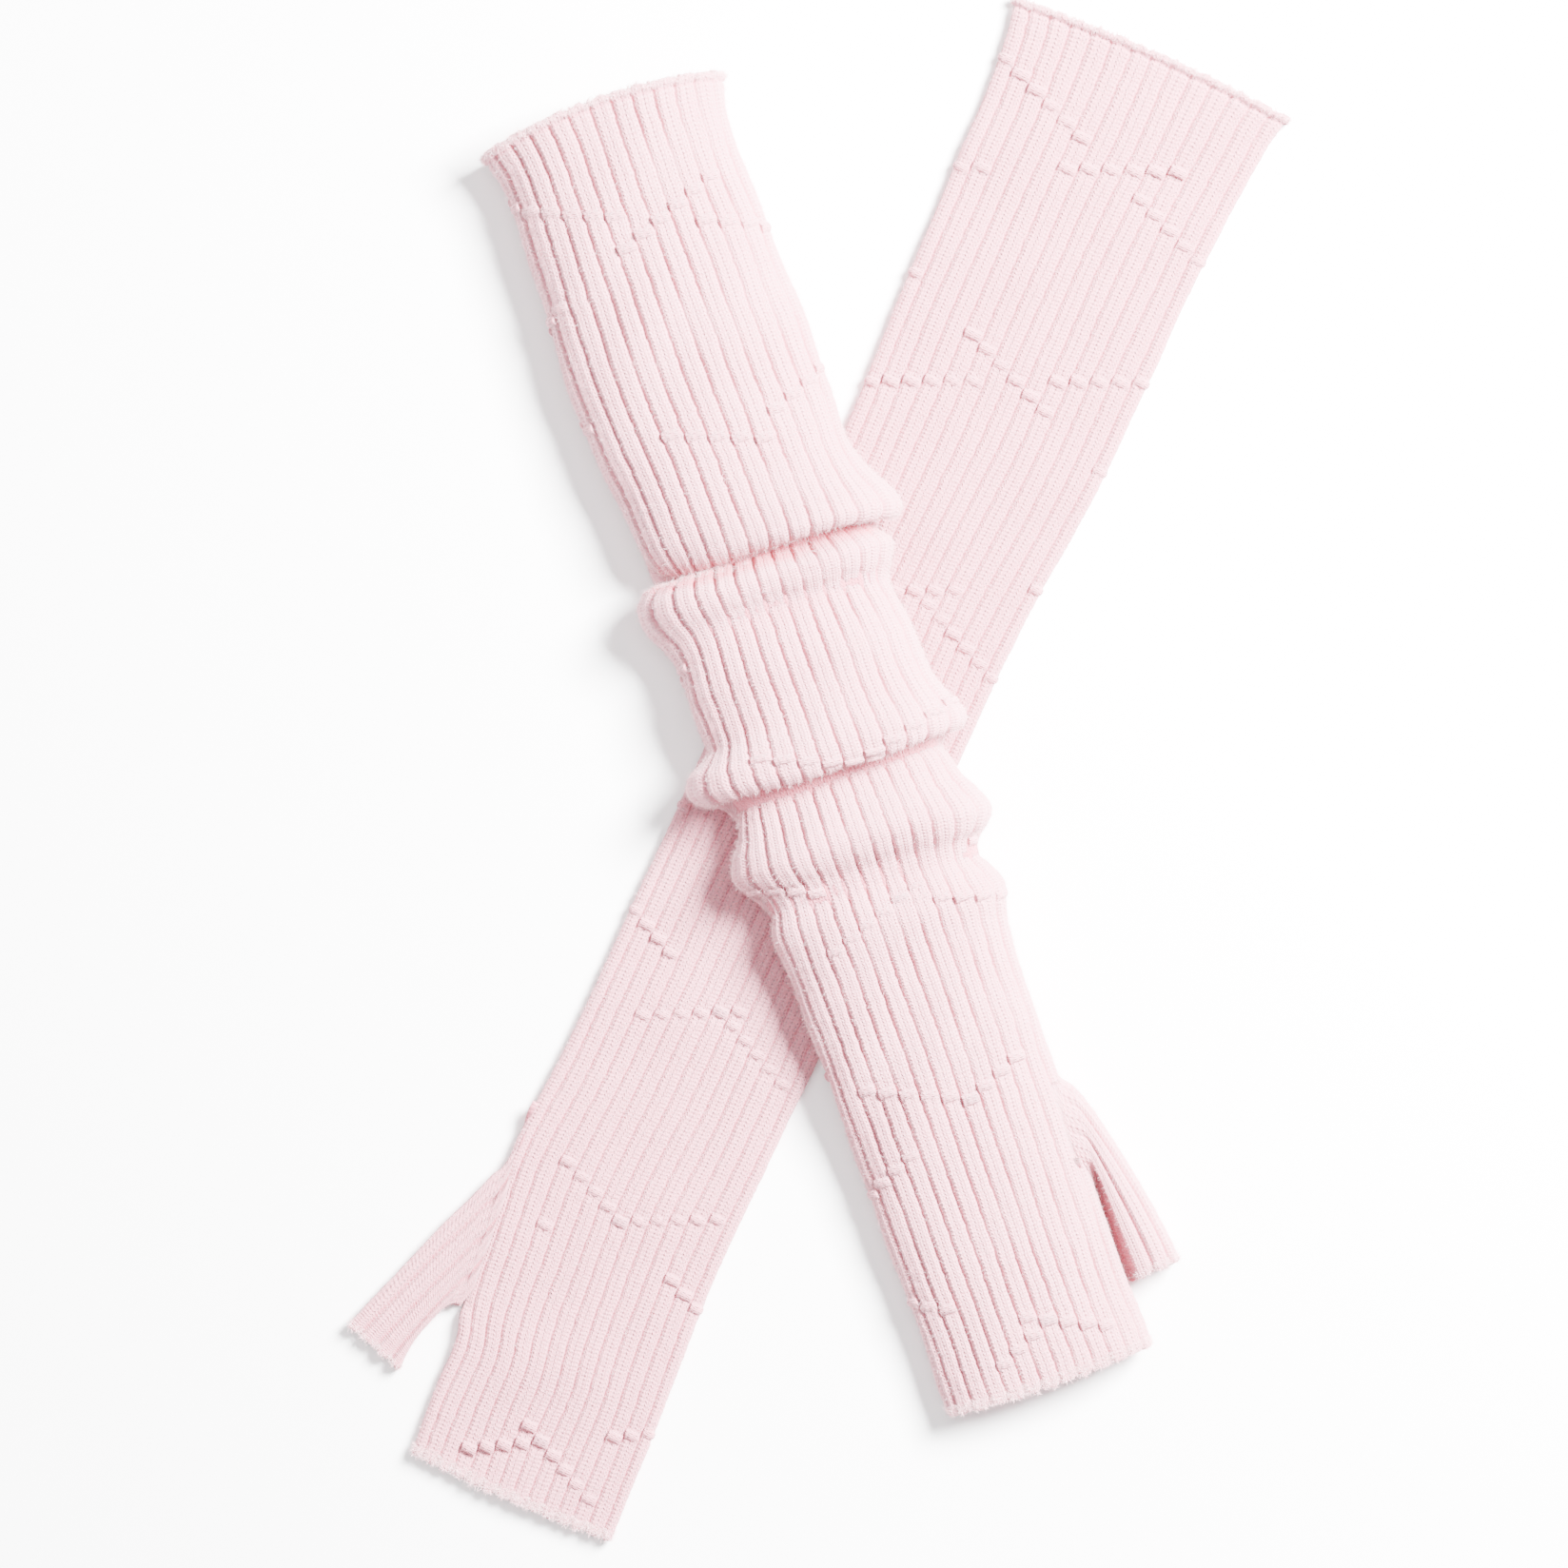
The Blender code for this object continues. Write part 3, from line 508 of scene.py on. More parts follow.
def brushed_wool_knit():
    """Brushed lambswool, dyed pink and knitted in plain rib: matt and full of short loose fibres. The
    pale pile is lighter on the stitches' loops as a painted highlight, and the grooves, their pinholes,
    the gaps between stitches and the folds get painted shade in deeper pink.
    """
    material = bpy.data.materials.new("brushed pink wool knit")
    material.use_nodes = True
    tree = material.node_tree
    wool = tree.nodes["Principled BSDF"]
    wool.inputs["Roughness"].default_value = 0.95
    wool.inputs["Specular IOR Level"].default_value = 0.2
    wool.inputs["Subsurface Weight"].default_value = 0.25
    wool.inputs["Subsurface Radius"].default_value = (1.0, 0.55, 0.55)
    wool.inputs["Subsurface Scale"].default_value = 2.0 * MM
    wool.inputs["Sheen Weight"].default_value = 0.25
    wool.inputs["Sheen Roughness"].default_value = 0.6
    wool.inputs["Sheen Tint"].default_value = colour(WOOL_SHEEN)
    times, times_add = ({"operation": kind} for kind in ("MULTIPLY", "MULTIPLY_ADD"))

    # One stitch: U counts the columns of stitches and V the rows. Its two legs slant to its middle,
    # and the gap between two columns is a row of dots that get painted shade.
    across = add_node(tree, "SeparateXYZ", [add_node(tree, "UVMap", uv_map="stitches")], "X")
    along = across.node.outputs["Y"]
    column = add_node(tree, "Math", [across, 0.5], operation="ADD")
    beside = add_node(tree, "Math", [column, 0.5], operation="PINGPONG")
    leg = add_node(tree, "Math", [beside, 4.0, -1.0], **times_add)
    leg = add_node(tree, "Math", [leg, leg], **times)
    leg = add_node(tree, "Math", [1.0, leg], operation="SUBTRACT")
    column = add_node(tree, "Math", [column], operation="FLOOR")
    turns = []
    for value, much in ((beside, SLANT), (column, STAGGER)):
        turn = add_node(tree, "Math", [value, much, along], **times_add)
        turn = add_node(tree, "Math", [turn, 2 * math.pi], **times)
        turn = add_node(tree, "Math", [turn], operation="SINE")
        turns.append(add_node(tree, "Math", [turn, 0.5, 0.5], **times_add))
    strand, dot = turns
    loop = add_node(tree, "Math", [leg, strand], **times)

    # The brushed surface: single fibres, tufts of them, and patches that took the dye more.
    place = add_node(tree, "TexCoord", output="Object")
    fibres, tufts, patches = (
        add_node(tree, "TexNoise", {"Vector": place, **grain})
        for grain in (WOOL_FIBRES, WOOL_TUFTS, WOOL_PATCHES)
    )
    groove, fold, opened = (
        add_node(tree, "Attribute", output="Fac", attribute_name=name)
        for name in ("groove", "fold", "gaps")
    )

    # Each layer of colour lies over the ones before it, by the product of its shares. The first is the
    # pale pile, lighter on the stitches' loops as a painted highlight. Then come painted shade in the
    # grooves, the pinholes, the gaps and the folds, and last the patches that took more dye. The pale
    # pile is thinner and the painted shade in the gaps shows more where the cloth is stretched open.
    lit = add_node(tree, "Math", [loop, 0.3], **times)
    lit = add_node(tree, "Math", [fibres, 0.9, lit], **times_add)
    pile = add_node(tree, "Math", [opened, -0.75, 1.0], **times_add)
    opened = add_node(tree, "Math", [opened, 0.65, 0.25], **times_add)
    lit, between, dot, in_groove, deep, hole, tuft, patch = (
        add_node(tree, "MapRange", inputs, interpolation_type="SMOOTHSTEP")
        for inputs in (
            [lit, 0.3, 0.8], [beside, 0.3, 0.48], [dot, 0.45, 0.85], [groove, 0.1, 0.95],
            [groove, 0.55, 1.0], [strand, 0.45, 0.1], [tufts, 0.38, 0.62, 0.3, 1.0],
            [patches, 0.35, 0.75, 0.0, 0.25],
        )
    )
    gap = add_node(tree, "Math", [between, dot], **times)
    shade = colour(WOOL_BASE)
    for tint, share, *others in (
        (WOOL_PILE_HIGHLIGHT, lit, pile), (WOOL_GROOVE_SHADE, in_groove), (WOOL_PINHOLE_SHADE, deep, hole, 0.8),
        (WOOL_GAP_SHADE, gap, tuft, opened), (WOOL_FOLD_SHADE, fold), (WOOL_BASE, patch),
    ):
        for other in others:
            share = add_node(tree, "Math", [share, other], **times)
        shade = add_node(tree, "Mix", {0: share, 6: shade, 7: colour(tint)}, 2, data_type="RGBA")
    tree.links.new(shade, wool.inputs["Base Color"])

    height = 0.0
    for part, much in ((loop, 0.4), (gap, -0.8), (fibres, 0.9), (tufts, 0.6)):
        height = add_node(tree, "Math", [part, much, height], **times_add)
    bump = add_node(tree, "Bump", {"Height": height, "Strength": 0.9, "Distance": 0.7 * MM})
    tree.links.new(bump, wool.inputs["Normal"])
    return material


def loose_wool_fibres():
    """Single fibres of the same lambswool, thin and pale, which stand off the brushed surface."""
    material = bpy.data.materials.new("loose wool fibres")
    material.use_nodes = True
    tree = material.node_tree
    fibre = tree.nodes["Principled BSDF"]
    fibre.inputs["Roughness"].default_value = 0.8
    fibre.inputs["Specular IOR Level"].default_value = 0.3
    fibre.inputs["Sheen Weight"].default_value = 0.3
    place = add_node(tree, "TexCoord", output="Object")
    shade = add_node(tree, "TexNoise", {"Vector": place, **FIBRE_SHADES})
    pinks = {0: shade, 6: colour(FIBRE_PINK), 7: colour(FIBRE_PALE)}
    tree.links.new(add_node(tree, "Mix", pinks, 2, data_type="RGBA"), fibre.inputs["Base Color"])
    return material


def loose_fibres(name, outer, normal, count, hems, seed):
    """Loose fibres all over a knitted surface: thin closed needles, each bent a random way."""
    chance = np.random.default_rng(seed)
    row, column = np.nonzero(normal[:-1, :, 2] > FIBRE["seen"])
    at_edge = np.abs(normal[row, column, 2]) < FIBRE["edge"]
    at_hem = (row < hems[0]) | (row >= len(outer) - hems[1])
    high = np.linalg.norm(outer[row + 1, column] - outer[row, column], axis=-1)
    wide = np.linalg.norm(np.roll(outer, -1, axis=1)[row, column] - outer[row, column], axis=-1)
    chosen = high * wide * (1 + at_edge * FIBRE["more_at_edges"] + at_hem * FIBRE["more_at_hems"])
    pick = chance.choice(len(row), count, p=chosen / chosen.sum())
    row, column, at_hem = row[pick], column[pick], at_hem[pick, None]
    share = chance.random((count, 1))
    root = outer[row, column] * (1 - share) + outer[row + 1, column] * share
    out = normal[row, column]
    lean = chance.normal(size=(count, 3))
    lean = unit(lean - out * np.sum(lean * out, axis=1, keepdims=True))
    aside = np.cross(out, lean)
    length = chance.uniform(*FIBRE["length"], (count, 1))
    rise = chance.uniform(*FIBRE["rise"], (count, 1)) ** FIBRE["flatter"]
    tip = root + length * (out * rise + lean * np.sqrt(1 - rise**2))
    thick = np.where(at_hem, FIBRE["hem_width"], FIBRE["width"])
    thick = thick * chance.uniform(*FIBRE["uneven"], (count, 1))
    root = root - out * FIBRE["rooted"]
    third = (out - lean) * thick * FIBRE["third"]
    points = np.stack([root + aside * thick, root - aside * thick, root + third, tip], axis=1)
    edges = points[:, 1:] - points[:, :1]
    volume = np.einsum("ij,ij->i", edges[:, 2], np.cross(edges[:, 0], edges[:, 1]))
    points[volume > 0, :2] = points[volume > 0, 1::-1]
    points[..., 2] = np.maximum(points[..., 2], 0)
    base = np.arange(count)[:, None] * 4
    corners = [base + np.array(c) for c in ((0, 1, 2), (0, 3, 1), (1, 3, 2), (2, 3, 0))]
    fibres = add_mesh(name, points, np.concatenate(corners).tolist(), fibre_wool)
    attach(fibres, "root")
    return fibres


def lower_form(along):
    """The middle and the half width of the lower glove, at places along it."""
    return [curve_through(LOWER_FORM["along"], LOWER_FORM[k], along) for k in ("aside", "half_width")]


def lower_skin(along, share):
    """Places on the lower glove's outside, as smooth as if it had no ribs."""
    middle, half = lower_form(along)
    across, up = slot_ring(half, LOWER_THICK, share)
    here = along + edge_bow(along, LOWER_FORM, LOWER_EDGE_BOW) * (1 - (across / half) ** 2)
    return lay_out(LOWER_START, LOWER_LEAN, here, middle + across, up)


def scalloped(cloth, length, ribs, phases, seed):
    """Places along the cloth whose first and last rows end in a small uneven wave, rib by rib."""
    chance = np.random.default_rng(seed)
    least, more = SCALLOP["uneven"]
    wave = SCALLOP["depth"] * (np.sin(math.pi * phases) - SCALLOP["balance"])
    wave = wave * (least + more * chance.random(RIBS)[ribs])
    longest = SCALLOP["longest"]
    fray = SCALLOP["fray"] * np.clip(chance.normal(size=len(ribs)), -longest, longest)
    at_hand = smooth_step(1 - (length - cloth) / SCALLOP["reach"])
    at_arm = smooth_step(1 - cloth / SCALLOP["reach"])
    cloth = cloth + wave * (at_hand - SCALLOP["arm"] * at_arm)
    return cloth + fray * (at_hand ** SCALLOP["sharp"] - at_arm ** SCALLOP["sharp"])


def wandered(cloth, shares, seed):
    """The shares of a ring's points where the ribs wander a little from side to side."""
    return shares + WANDER["size"] * waves(cloth, shares, seed, WANDER["lengths"]) / GLOVE_ROUND


def jagged(rows, ribs, phases, seed):
    """How much each stitch is out of line with the one before it, in shares of the glove's round."""
    chance = np.random.default_rng(seed)
    line = JAGGED * chance.normal(size=(rows, RIBS)) / GLOVE_ROUND
    return line[:, ribs] * (1 - phases) + line[:, (ribs + 1) % RIBS] * phases


def inner_rows_of(rows, ends):
    """The rows that the plain inside has too: every few rows, the edges and the hole's ends."""
    kept = set(range(0, len(rows), INNER_ROW_STEP)) | {len(rows) - 1}
    kept |= {int(np.argmin(np.abs(rows - end))) for end in ends}
    return np.array(sorted(kept))


def knit_glove(name, skin, normal, relief, rows, ring, opening, marks, knit, seed):
    """A glove's tube of knit with its hems, open at its thumb. ring holds the ribs and phases of a
    ring's points, and opening holds two places along the cloth and which of those points it takes.
    """
    ribs, phases = ring
    *ends, beside = opening
    relief = relief + uneven(len(rows), ribs, phases, seed)
    relief = relief - hem_depth(rows, True) - hem_depth(rows[-1] - rows, False)
    outer = skin + normal * relief[..., None]
    outer[..., 2] = np.maximum(outer[..., 2], 0)
    inner_rows = inner_rows_of(rows, ends)
    inner = skin[inner_rows] - normal[inner_rows] * knit["wall"]
    holes = np.zeros((len(inner_rows) - 1, len(ribs)), bool)
    first, last = (int(np.argmin(np.abs(rows[inner_rows] - end))) for end in ends)
    holes[first:last, beside] = True
    wale = np.append(ribs + phases, RIBS) * WALES_A_RIB + 0.5
    groove, fold = marks
    marks = {
        "groove": np.maximum(groove, hem_line(rows)),
        "fold": fold,
        "gaps": np.full(outer.shape[:2], knit["gaps"], float),
    }
    return knit_shell(name, outer, inner, inner_rows, holes, (wale, rows / COURSE), marks), outer


wool_knit = brushed_wool_knit()
fibre_wool = loose_wool_fibres()

lower_length = LOWER_FORM["along"][-1]
lower_grooves = np.linspace(0, 1, RIBS + 1)
ribs, phases, shares = rib_points(lower_grooves, LOWER_HIDDEN_RIBS)
rows = stitch_rows(lower_length)
cloth = scalloped(rows[:, None], lower_length, ribs, phases, LOWER_SEED)
out_of_line = jagged(len(rows), ribs, phases, LOWER_SEED)
skin = lower_skin(cloth, (wandered(cloth, shares, LOWER_SEED) + out_of_line) % 1.0)
normal = outward(lower_skin(rows[:, None], wandered(rows[:, None], shares, LOWER_SEED) % 1.0))
facing_up = np.clip(normal[..., 2], 0, 1)
depth, groove = rib_depth(phases, LOWER_PITCH, LOWER_KNIT)
ribbed = ribs_begin(rows)
covered = smooth_step((cloth - LOWER_COVERED["from"]) / LOWER_COVERED["from_fade"])
covered = covered * smooth_step((LOWER_COVERED["to"] - cloth) / LOWER_COVERED["to_fade"])
beyond = (LOWER_COVERED["rib"] - ribs - phases) / LOWER_COVERED["rib_fade"]
covered = covered * np.where(ribs == RIBS - 1, 1, smooth_step(beyond))
swell = SWELL["size"] * waves(cloth, shares, LOWER_SEED + 1, SWELL["lengths"]) * facing_up
relief = tucks(cloth, ribs, phases, LOWER_TUCKED) + swell - depth * ribbed
relief = relief - LOWER_COVERED["depth"] * covered
before, after = LOWER_OPENING_RIBS
beside = (shares < after / RIBS) | (shares > 1 - before / RIBS)
lower_glove, outer = knit_glove(
    "lower_glove_knit", skin, normal, relief, rows, (ribs, phases), (*LOWER_THUMB_OPENING, beside),
    (groove * ribbed, np.zeros(skin.shape[:2])), LOWER_KNIT, LOWER_SEED
)
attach(lower_glove, "root")
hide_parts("lower_glove")
lower_knots = tuck_knots(
    "lower_glove_tucks", skin, normal, rows, ribs, LOWER_TUCKED, LOWER_KNIT["gaps"]
)
lower_fibres = loose_fibres(
    "lower_glove_fibres", outer, normal, FIBRES["glove"], FRAYED_ROWS, LOWER_SEED
)

# Lower thumb
# A short tube of the same knit, on the left of the lower hand. The arm's outer ribs run on into it,
# and where its other ribs start they are joined to the hand along a short slanting line.
LOWER_THUMB = {
    "outer_along": (441, 457, 475, 492, 509, 519),
    "outer_aside": (-50.2, -55.5, -62.6, -68.5, -74.6, -78),
    "inner_along": (498, 499.5, 506, 513, 520, 526.5),
    "inner_aside": (-44.4, -48.3, -51.3, -53.4, -54.4, -54.2),
    "base": (0, 0, 0, 0, 0, 0),
    "height": (4.9, 4.9, 4.9, 4.9, 4.9, 4.9),
}
LOWER_THUMB_LENGTH = 72  # of its cloth
LOWER_JOIN = {"reach": (20, 12), "edge": 0, "inwards": 0.9 / 28, "shaded": -1, "plain": 0}
LOWER_THUMB_KNIT = {**LOWER_KNIT, "groove": 1.75, "groove_width": 0.6}
THUMB_RIBS = 4
THUMB_PITCH = 6.0
WEB_SHARE = 5  # how close to the inner edge the web between thumb and hand stays
ROOT_CLEAR = 0.65
ROOT_FADE = 0.6  # of the first step of a thumb's table
WAVE_FADE = 20  # from the root to where the ribs' uneven ends count in full
JOIN_ROWS = 12
JOIN = {  # how the upper side runs back over the arm as a tongue, and sinks into it
    "narrows": 0.4, "inwards_from": 0.15, "inwards_fade": 0.5,
    "proud": 0.25, "proud_fade": 8, "sunk": 1.9, "sunk_until": 0.6,
    "wall": 1.0, "wall_rows": 4, "plain_depth": 0.15,
}
TURNED_IN = {"height": 6.5, "edge": 0.04, "fade": 14, "share": 0.85}  # cloth beside the slit, turned in lower and given painted shade


def lower_side(along, z):
    """How far aside a place on the lower hand's left side is, just clear of the hand."""
    middle, half = lower_form(along)
    radius = LOWER_THICK / 2
    bulge = np.sqrt(np.maximum((radius + ROOT_CLEAR) ** 2 - (z - radius) ** 2, 0))
    return middle - (half - radius + bulge)


def thumb_rings(start, lean, table, ring, side_of_hand, t, share):
    """Places on a thumb. Each row stands on a line from its left edge to its right edge."""
    value = {k: curve_through(range(len(table[k])), table[k], t) for k in table}
    left, right = ("outer", "inner") if table["outer_aside"][0] < 0 else ("inner", "outer")
    rise = value[right + "_along"] - value[left + "_along"]
    run = value[right + "_aside"] - value[left + "_aside"]
    half = np.hypot(rise, run) / 2
    across, up = ring(half, value["height"], share)
    far = (across / half + 1) / 2
    along = value[left + "_along"] + far * rise
    aside = value[left + "_aside"] + far * run
    inwards = far if left == "outer" else 1 - far
    web = inwards - inwards**WEB_SHARE
    last = len(table["height"]) - 1
    for place, kind in ((along, "inner_along"), (aside, "inner_aside")):
        straight = table[kind][0] + t / last * (table[kind][-1] - table[kind][0])
        place += web * (straight - value[kind])
    up = np.maximum(value["base"], 0) + up
    at_root = 1 - smooth_step(t / ROOT_FADE)
    aside = aside + (side_of_hand(along, up) - aside) * at_root
    return lay_out(start, lean, along, aside, up)


def joined(before, after):
    """One value for all of a tongue's rows, and then one for each of the tube's rows."""
    return np.concatenate([np.full(JOIN_ROWS, before), after])[:, None]


def knit_thumb(name, rings, table, arm_skin, join, ribs, phases, shares, length, knit, seed):
    """A thumb's tube, whose upper side runs back over the arm as a thin tongue that sinks into it."""
    rows = stitch_rows(length)[len(ARM_HEM_ROWS) - 1:] - ARM_HEM_ROWS[-1]
    rows = rows * length / rows[-1]
    count = len(rows)
    tube = rings((rows / length)[:, None], shares[None, :])
    run_out = unit(tube[-1] - tube[-4])
    shift = scalloped(rows[:, None], length, ribs % RIBS, phases, seed) - rows[:, None]
    shift = shift * smooth_step(rows / WAVE_FADE)[:, None]
    tube = tube + shift[..., None] * run_out
    on_top = np.clip(shares * 2, 0, 1)
    inwards = on_top if join["edge"] == 0 else 1 - on_top
    narrowed = smooth_step(inwards / JOIN["narrows"])
    back = join["reach"][0] + (join["reach"][1] - join["reach"][0]) * narrowed
    arm_share = smooth_step(JOIN["inwards_from"] + inwards / JOIN["inwards_fade"])
    arm_share = join["edge"] + join["inwards"] * arm_share
    outer_root, inner_root = table["outer_along"][0], table["inner_along"][0]
    root_along = outer_root + inwards * (inner_root - outer_root)
    arm = arm_skin(root_along - back, arm_share)
    reach = np.linalg.norm(tube[0] - arm, axis=-1, keepdims=True)
    arm_way = unit(arm_skin(root_along - back + 1, arm_share) - arm) * reach
    root_way = unit((tube[-1] - tube[0]) * (1, 1, 0)) * reach
    w = np.linspace(0, 1, JOIN_ROWS + 1)[:-1, None, None]
    tongue = (2 * w**3 - 3 * w**2 + 1) * arm + (w**3 - 2 * w**2 + w) * arm_way
    tongue = tongue + (3 * w**2 - 2 * w**3) * tube[0] + (w**3 - w**2) * root_way
    skin = np.concatenate([tongue, tube])
    normal = outward(skin)
    w = np.concatenate([w[:, 0], np.ones((count, 1))])
    sinking = (1 - smooth_step(w / JOIN["sunk_until"])) * np.ones(len(ribs))
    proud = JOIN["proud"] - (JOIN["proud"] + JOIN["sunk"]) * sinking
    proud[JOIN_ROWS:] = JOIN["proud"] * (1 - smooth_step(rows / JOIN["proud_fade"]))[:, None]
    depth, groove = rib_depth(phases, THUMB_PITCH, knit)
    groove = np.broadcast_to(groove, skin.shape[:2])
    if join["plain"]:
        plain = joined(0.0, smooth_step(rows / join["plain"]))
        depth = depth * (JOIN["plain_depth"] + (1 - JOIN["plain_depth"]) * plain)
        groove = groove * plain
    relief = proud - depth - hem_depth(joined(length, length - rows)[:, 0], False)
    relief = relief + uneven(len(skin), ribs, phases, seed)
    outer = skin + normal * relief[..., None]
    outer[..., 2] = np.maximum(outer[..., 2], 0)
    wall = np.full(count, knit["wall"])
    wall[:JOIN["wall_rows"]] = np.linspace(JOIN["wall"], knit["wall"], JOIN["wall_rows"])
    inner = skin + normal * (np.minimum(proud, 0) - joined(JOIN["wall"], wall))[..., None]
    holes = np.zeros((len(skin) - 1, len(ribs)), bool)
    holes[:JOIN_ROWS, shares >= 0.5] = True
    # The cloth beside the slit is turned in lower, and the fold mark paints shade on it.
    turned_in = smooth_step((join["shaded"] - np.minimum(shares, 1 - shares)) / TURNED_IN["edge"])
    turned_in = turned_in * TURNED_IN["share"] * joined(0.0, smooth_step(rows / TURNED_IN["fade"]))
    outer[..., 2] -= np.maximum(outer[..., 2] - TURNED_IN["height"], 0) * turned_in
    inner[..., 2] -= np.maximum(inner[..., 2] - TURNED_IN["height"] + knit["wall"], 0) * turned_in
    marks = {"groove": groove, "fold": turned_in, "gaps": np.full(groove.shape, knit["gaps"], float)}
    wale = np.append(ribs + phases, ribs[-1] + 1) * WALES_A_RIB + 0.5
    every_row = np.arange(len(skin))
    thumb = knit_shell(name, outer, inner, every_row, holes, (wale, every_row), marks)
    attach(thumb, "root")
    fibres = loose_fibres(
        name.replace("knit", "fibres"), outer[JOIN_ROWS:], normal[JOIN_ROWS:], FIBRES["thumb"],
        (0, FRAYED_ROWS[1]), seed
    )
    return thumb, fibres


def lower_rings(t, share):
    t = t * (len(LOWER_THUMB["height"]) - 1)
    return thumb_rings(LOWER_START, LOWER_LEAN, LOWER_THUMB, slot_ring, lower_side, t, share)


def lower_arm(along, share):
    return lower_skin(along, wandered(along, share, LOWER_SEED) % 1.0)


thumb_ribs, thumb_phases, thumb_shares = rib_points(np.linspace(0, 1, 2 * THUMB_RIBS + 1), ())
lower_thumb, lower_thumb_fibres = knit_thumb(
    "lower_glove_thumb_knit", lower_rings, LOWER_THUMB, lower_arm, LOWER_JOIN,
    thumb_ribs, thumb_phases, thumb_shares, LOWER_THUMB_LENGTH, LOWER_THUMB_KNIT, LOWER_SEED
)
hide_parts("lower_glove_thumb")

# Upper glove
# The same tube as the lower glove, filled out as if just taken off, and slouched where it lies over
# the lower one. Its surplus length stands in three folds, and the first hangs over itself.
UPPER_START = (-75.1, 227.8)
UPPER_LEAN = 19.5
UPPER_FORM = {
    "along": (0, 9, 22, 60, 95, 140, 180, 235, 270, 300, 360, 410, 450, 468),
    "aside": (0, 0, 0, 0, 0, 1.5, 0.5, 0, 0, 0, 0, -0.3, 0, 0),
    "half_width": (
        44.5, 41.6, 40.8, 42.3, 43.2, 41.2, 40.3, 40.5, 39.5, 38.8, 38.3, 37.8, 37.4, 37.9
    ),
    "height": (29, 28, 27.5, 28, 28, 28, 28, 27, 26, 25, 23, 20.5, 19, 19),
}
UPPER_KNIT = {
    "wall": 2.7, "groove": 1.5, "groove_width": 0.58, "crown": 0.4, "valley": 0.34, "gaps": 0.25
}
UPPER_PITCH = 7.2
UPPER_GROOVE_SHARE = (1.25, 0.55)  # of that groove, at the left side and at the right one
UPPER_GROOVE_WAVES = {"lengths": (20, 60), "size": 0.2}
UPPER_DEEPEST = 1.3
UPPER_SIDE_HEIGHT = 0.42  # of the height, where the ring is widest
UPPER_TOP_POWERS = (2.35, 2.1)  # a ring is a superellipse: powers of its width and height
UPPER_BASE_POWERS = (4.5, 2.6)
UPPER_EDGE_BOW = (5.0, 1.5)
UPPER_TOP_RIBS = 13
FLANK = 0.5 / UPPER_TOP_RIBS  # a rib on either side of the top, as a share of the ring
UPPER_THUMB_OPENING = (371, 397)
UPPER_OPENING_RING = {"middle": 0.5 - 0.25 / 28, "half": 0.03}
UPPER_TUCKED = {
    "ribs": (*range(13), 27), "cloth": (14, 540), "thumb_ribs": (11, 12, 13, 14), "thumb_from": 427,
    "folded": (128, 222),
}
UPPER_SEED = 11
RING_STEPS = 360
CROSSING_GAP = 0.45
CROSSING_MARGIN = 9.0
CROSSING_RAMP = 16.0
FOLD_COLUMNS = ("left_along", "left_out", "middle_along", "middle_out", "right_along", "right_out")
FOLD_COURSE = (
    (126, 0, 126, 0, 126, 0),
    (136, 0, 136, 0, 136, 0.5),
    (147, -1.5, 147, 1.5, 147, 4.5),
    (156, -5, 154.5, 3, 156, 9.5),
    (161, -9.5, 159, 2.5, 163, 11),
    (163.5, -11, 161.5, -1.5, 166, 8.5),
    (162.5, -8.5, 161.5, -6, 164.5, 4),
    (160.5, -4.5, 161.5, -9, 162, 1),
    (160.5, 1, 163.5, -6.5, 163.5, -0.5),
    (164, 5.5, 166, -1.5, 168, 2),
    (169.5, 7, 170.5, 3, 173.5, 5.5),
    (176, 6, 175.5, 1.5, 179, 3),
    (184, 2.5, 181, -4, 185, -0.5),
    (192, 0, 189, -3, 192, 0.5),
    (203, -0.5, 202, 0.5, 203, 2),
    (214, -1, 213, 0, 214, 2),
    (221, -1.5, 221.5, 1.5, 223, 3),
    (224, 3, 228.5, 6, 231, 7),
    (228, 9.5, 235, 7.5, 237, 10),
    (234, 11, 240.5, 6, 241.5, 9),
    (239, 7, 242.5, 2, 243, 5.5),
    (239.5, 2, 240.5, -1.5, 241.5, 1.5),
    (238, -2, 239, -5, 240.5, -2),
    (240, -5, 241.5, -7, 243, -3.5),
    (246, -3, 248, -4, 249, -0.5),
    (254, 0, 256, 0, 257, 1.5),
    (261.5, 5, 263, 4, 266, 6),
    (267, 7, 268.5, 4.5, 272.5, 8),
    (272, 4.5, 273.5, 2, 277.5, 5),
    (275.5, 0.5, 278, -2, 280.5, 0.5),
    (280.5, -1.5, 283.5, -3.5, 285, -1),
    (289, 1, 290, -1, 290, 1.5),
    (300, 0.5, 300, 1, 299, 4.5),
    (311, 0, 311, 0, 309, 1.5),
    (322, 0, 322, 0, 322, 0),
    (332, 0, 332, 0, 332, 0),
)
SLOUCH_TAKES_UP = 82.0  # cloth that lies in the folds
# Painted shade in the folds' creases: a band along the first fold, and the troughs where later folds
# sink below the plain form. pink is the share of that shade.
FIRST_FOLD = {"row": 8, "half_length": 8.5, "out": 4.5, "out_fade": 4, "pink": 0.95}
LATER_FOLDS = {"from": 2.0, "fade": 7, "pink": 0.7}


